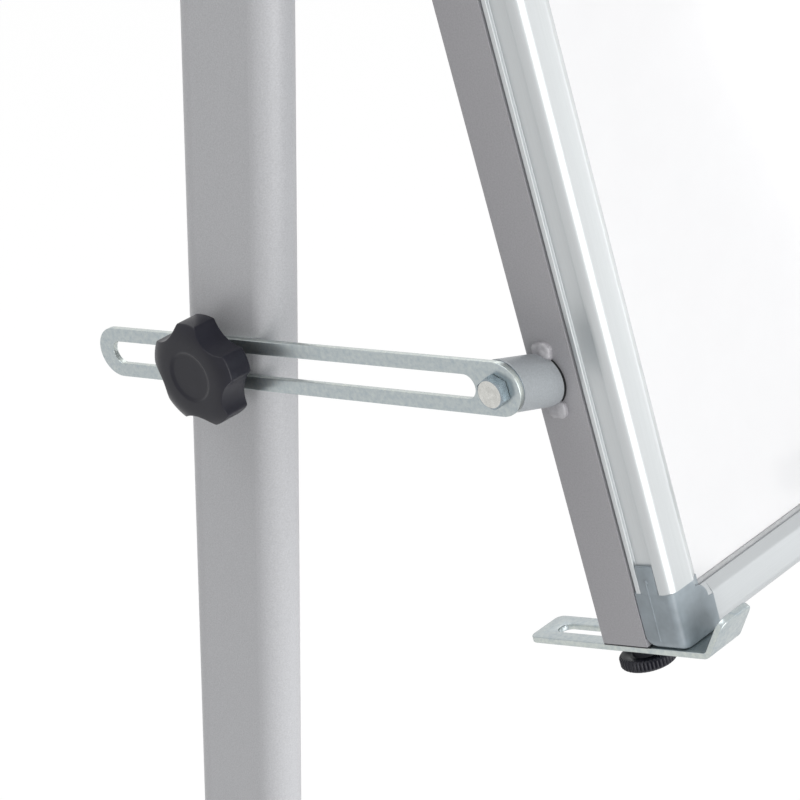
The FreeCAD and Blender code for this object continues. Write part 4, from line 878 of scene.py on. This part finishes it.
def corner_ridge(work, at, depth):
    """Add a fine ridge along the side, which ends in a small pip."""
    end = CORNER_REACH + CORNER_TAB - RIDGE_SHORT
    arc = [math.radians(a) for a in range(0, 181, 30)]
    bulge = [(0.05 - RIDGE_RISE * math.sin(a), depth + RIDGE_HALF * math.cos(a)) for a in arc]
    extrusion(bulge, RIDGE_START, end, at, work)
    pip = at(0.0, depth - PIP_DOWN, end)
    made = bmesh.ops.create_uvsphere(work, u_segments=24, v_segments=12, radius=1.0)["verts"]
    for vert in made:
        vert.co = pip + Vector([c * half for c, half in zip(vert.co, PIP_HALVES)])


def corner(label, x_sign, z_way):
    """Moulded corner with its plugs, its lip and a fine ridge down its side."""
    low, high = local_box(label, BOARD)
    front, back = low.y, high.y
    x_edge = max(abs(low.x), abs(high.x))
    z_edge = low.z if z_way > 0 else high.z

    def at(u, v, w):
        """Point at distances in from the side edge, front to back, and in from the end edge."""
        return Vector((x_sign * (x_edge - u), v, z_edge + z_way * w))

    work = lofted([[at(p.x, front + gone, p.y) for p in corner_outline(*insets)]
                   for gone, *insets in corner_rings(back - front)])
    corner_plugs(work, at, front, back)
    corner_lip(work, at, front)
    corner_ridge(work, at, (front + back) / 2 + RIDGE_BACK)
    piece(label + "_moulded", work, CORNER_GREY, "board", [label], "grey_plastic", BOARD,
          angle=30)


def corners():
    """Corners of the frame, each drawn from its own outer edges."""
    for side_name, side in SIDES:
        corner("corner_bottom_" + side_name, side, 1)
        corner("corner_top_" + side_name, side, -1)


# ---------------------------------------------------------------- the rest of the CAD nodes

# Label, rounding of the edges, material and slot.
STAND_PIECES = (("upper_cross_bar", 0.3, PAINT, "grey_paint"),
                ("lower_cross_bar", 0.3, PAINT, "grey_paint"),
                ("mast_caps", 0.8, BLACK, "black_plastic"),
                ("foot_end_caps", 0.8, BLACK, "black_plastic"),
                ("hinge_washers", 0.1, NYLON, "nylon"),
                ("stud_inserts", 0.3, BOLT, "zinc_plate"),
                ("castor_stems", 0.4, BOLT, "zinc_plate"))
BOARD_PIECES = (("tube_plugs", 0.4, BLACK, "black_plastic"),
                ("tray_ends", 0.7, CORNER_GREY, "grey_plastic"),
                ("board_screws", 0.6, BOLT, "zinc_plate"),
                ("clamp_pins", 0.2, BOLT, "zinc_plate"),
                ("pen_tray", 0.35, DRAWN_X_SHADED, "silver_anodised"),
                ("paper_track", 0.25, DRAWN_X_SHADED, "silver_anodised"))


def dress(label, material):
    """Give a CAD node that keeps its own mesh its finish."""
    materials = frame["nodes"][label].data.materials
    materials.clear()
    materials.append(material)


def side_pieces(side_name):
    """Mast, foot, link, hook and paper peg of one side; the plates' edges get a paler zinc, a
    painted highlight.
    """
    dress("mast_" + side_name, PAINT)
    keep_refined("foot_" + side_name, 0.4, PAINT, "stand", "grey_paint")
    link = keep_refined("link_" + side_name, 0.4, ZINC, "link_" + side_name, "zinc_plate",
                        link_matrix(side_name))
    # The bar's edges get the paler zinc, a painted highlight.
    paint_faces(link, ZINC_EDGE_HIGHLIGHT, lambda normal: abs(normal.x) < 0.5)
    hook = keep_refined("hook_" + side_name, 0.5, ZINC, "hook_" + side_name, "zinc_plate", BOARD)
    # The hook's edges get the paler zinc, a painted highlight.
    paint_faces(hook, ZINC_EDGE_HIGHLIGHT, lambda normal: abs(normal.x) > 0.8)
    keep_refined("paper_peg_" + side_name, 0.7, BLACK, "paper_peg_" + side_name,
                 "black_plastic", BOARD)


def shared_pieces():
    """Pieces of the stand and the board that aren't made once a side."""
    for label, radius, material, slot in STAND_PIECES:
        keep_refined(label, radius, material, "stand", slot)
    for label, radius, material, slot in BOARD_PIECES:
        keep_refined(label, radius, material, "board", slot, BOARD)
    keep_refined("clamp_bar", 0.5, DRAWN_X_SHADED, "clamp_bar", "silver_anodised", BOARD)
    dress("writing_surface", LACQUER)
    dress("core_panel", CORE)
    dress("back_sheet", BACK)
    bolt_set("frame_bolts")
    bolt_set("hinge_bolts")
    bolt_set("link_bolts", LINK_BOLT_TURN, "board")


def castors():
    """Four castors; the front ones have brake pedals."""
    for end in ("front", "rear"):
        for side_name, _ in SIDES:
            where = end + "_" + side_name
            keep_refined("castor_housing_" + where, 0.6, BLACK, "castor_" + where,
                         "castor_plastic")
            keep_refined("castor_wheels_" + where, 0.3, TREAD, "wheels_" + where, "wheel_rubber")
            if end == "front":
                keep_refined("castor_brake_" + where, 0.6, BLACK, "brake_" + where,
                             "castor_plastic")


for name, sign in SIDES:
    star_knob(name, sign)
    thumb_screw(name)
board_tubes()
stub_posts()
gap_shade_rings()
stub_welds()
rails()
gasket()
corners()
for name, sign in SIDES:
    side_pieces(name)
shared_pieces()
castors()


# ---------------------------------------------------------------- studio

ROOM_LIGHT, FLOOR_SHARE, FLOOR_GLOW, FLOOR_SIZE = 0.24, 0.9, 1.06, 30
FLOOR_GREY, FLOOR_ROUGHNESS = (0.9, 0.9, 0.9), 0.9
# Name, place, width and power of the soft lamps, which all look at AIM.
LAMPS = (("key", (-0.75, -3.0, 1.7), 2.8, 73), ("fill", (2.3, -1.5, 0.8), 1.2, 9),
         ("rim", (1.9, 1.8, 2.9), 1.6, 10), ("top", (-0.9, 0.9, 3.6), 2.2, 32))
AIM = Vector((-0.3, -0.1, 1.1))
# Camera close to the left mast, looking down along the link to the board's lower corner.
CAMERA_PLACE = Vector((-1.14775, -0.76279, 1.65571))
CAMERA_YAW, CAMERA_PITCH, CAMERA_ROLL = 40.333, 30.913, -0.856
CAMERA_LENS, SENSOR, CLIP_NEAR, CLIP_FAR = 120.8, 36.0, 0.05, 60


def larger(tree, first, second):
    made = node(tree, "Math", operation="MAXIMUM")
    tree.links.new(first, made.inputs[0])
    tree.links.new(second, made.inputs[1])
    return made.outputs[0]


def room():
    """World that lights the object softly, and shows as white to the camera and in metal."""
    world = bpy.data.worlds.new("room")
    bpy.context.scene.world = world
    world.use_nodes = True
    tree = world.node_tree
    path = node(tree, "LightPath")
    seen = larger(tree, path.outputs["Is Camera Ray"], path.outputs["Is Glossy Ray"])
    through = larger(tree, seen, path.outputs["Is Transmission Ray"])
    strength = node(tree, "MapRange")
    strength.inputs["To Min"].default_value = ROOM_LIGHT
    strength.inputs["To Max"].default_value = 1.0
    tree.links.new(through, strength.inputs["Value"])
    background = tree.nodes["Background"]
    background.inputs["Color"].default_value = (1, 1, 1, 1)
    tree.links.new(strength.outputs["Result"], background.inputs["Strength"])


def white_floor():
    """Pale floor that shows as white, and keeps a little of the object's shadow."""
    mat, tree, shader = shade("white_floor", FLOOR_GREY, 0.0, FLOOR_ROUGHNESS)
    glow = node(tree, "Emission", Strength=FLOOR_GLOW)
    path = node(tree, "LightPath")
    seen = larger(tree, path.outputs["Is Camera Ray"], path.outputs["Is Glossy Ray"])
    share = node(tree, "Math", operation="MULTIPLY")
    share.inputs[1].default_value = FLOOR_SHARE
    tree.links.new(seen, share.inputs[0])
    mix = node(tree, "MixShader")
    tree.links.new(share.outputs[0], mix.inputs[0])
    tree.links.new(shader.outputs[0], mix.inputs[1])
    tree.links.new(glow.outputs[0], mix.inputs[2])
    tree.links.new(mix.outputs[0], tree.nodes["Material Output"].inputs["Surface"])
    bpy.ops.mesh.primitive_plane_add(size=FLOOR_SIZE)
    floor = bpy.context.active_object
    floor.name = "floor"
    floor.data.materials.append(mat)


def lamp(label, spot, width, power):
    data = bpy.data.lights.new(label, "AREA")
    data.shape = "SQUARE"
    data.size = width
    data.energy = power
    obj = bpy.data.objects.new(label, data)
    bpy.context.scene.collection.objects.link(obj)
    obj.location = spot
    obj.rotation_euler = (AIM - obj.location).to_track_quat("-Z", "Y").to_euler()


def camera():
    yaw, pitch, roll = (math.radians(v) for v in (CAMERA_YAW, CAMERA_PITCH, CAMERA_ROLL))
    ahead = Vector((math.cos(yaw) * math.cos(pitch), math.sin(yaw) * math.cos(pitch),
                    -math.sin(pitch)))
    right = Vector((math.sin(yaw), -math.cos(yaw), 0))
    down = ahead.cross(right)
    level = right * math.cos(roll) + down * math.sin(roll)
    low = down * math.cos(roll) - right * math.sin(roll)
    data = bpy.data.cameras.new("camera")
    data.lens, data.sensor_width = CAMERA_LENS, SENSOR
    data.clip_start, data.clip_end = CLIP_NEAR, CLIP_FAR
    obj = bpy.data.objects.new("camera", data)
    bpy.context.scene.collection.objects.link(obj)
    obj.matrix_world = axes_matrix(level, -low, -ahead, CAMERA_PLACE)
    bpy.context.scene.camera = obj


room()
for lamp_settings in LAMPS:
    lamp(*lamp_settings)
white_floor()
camera()
bpy.context.scene.view_settings.view_transform = "Standard"
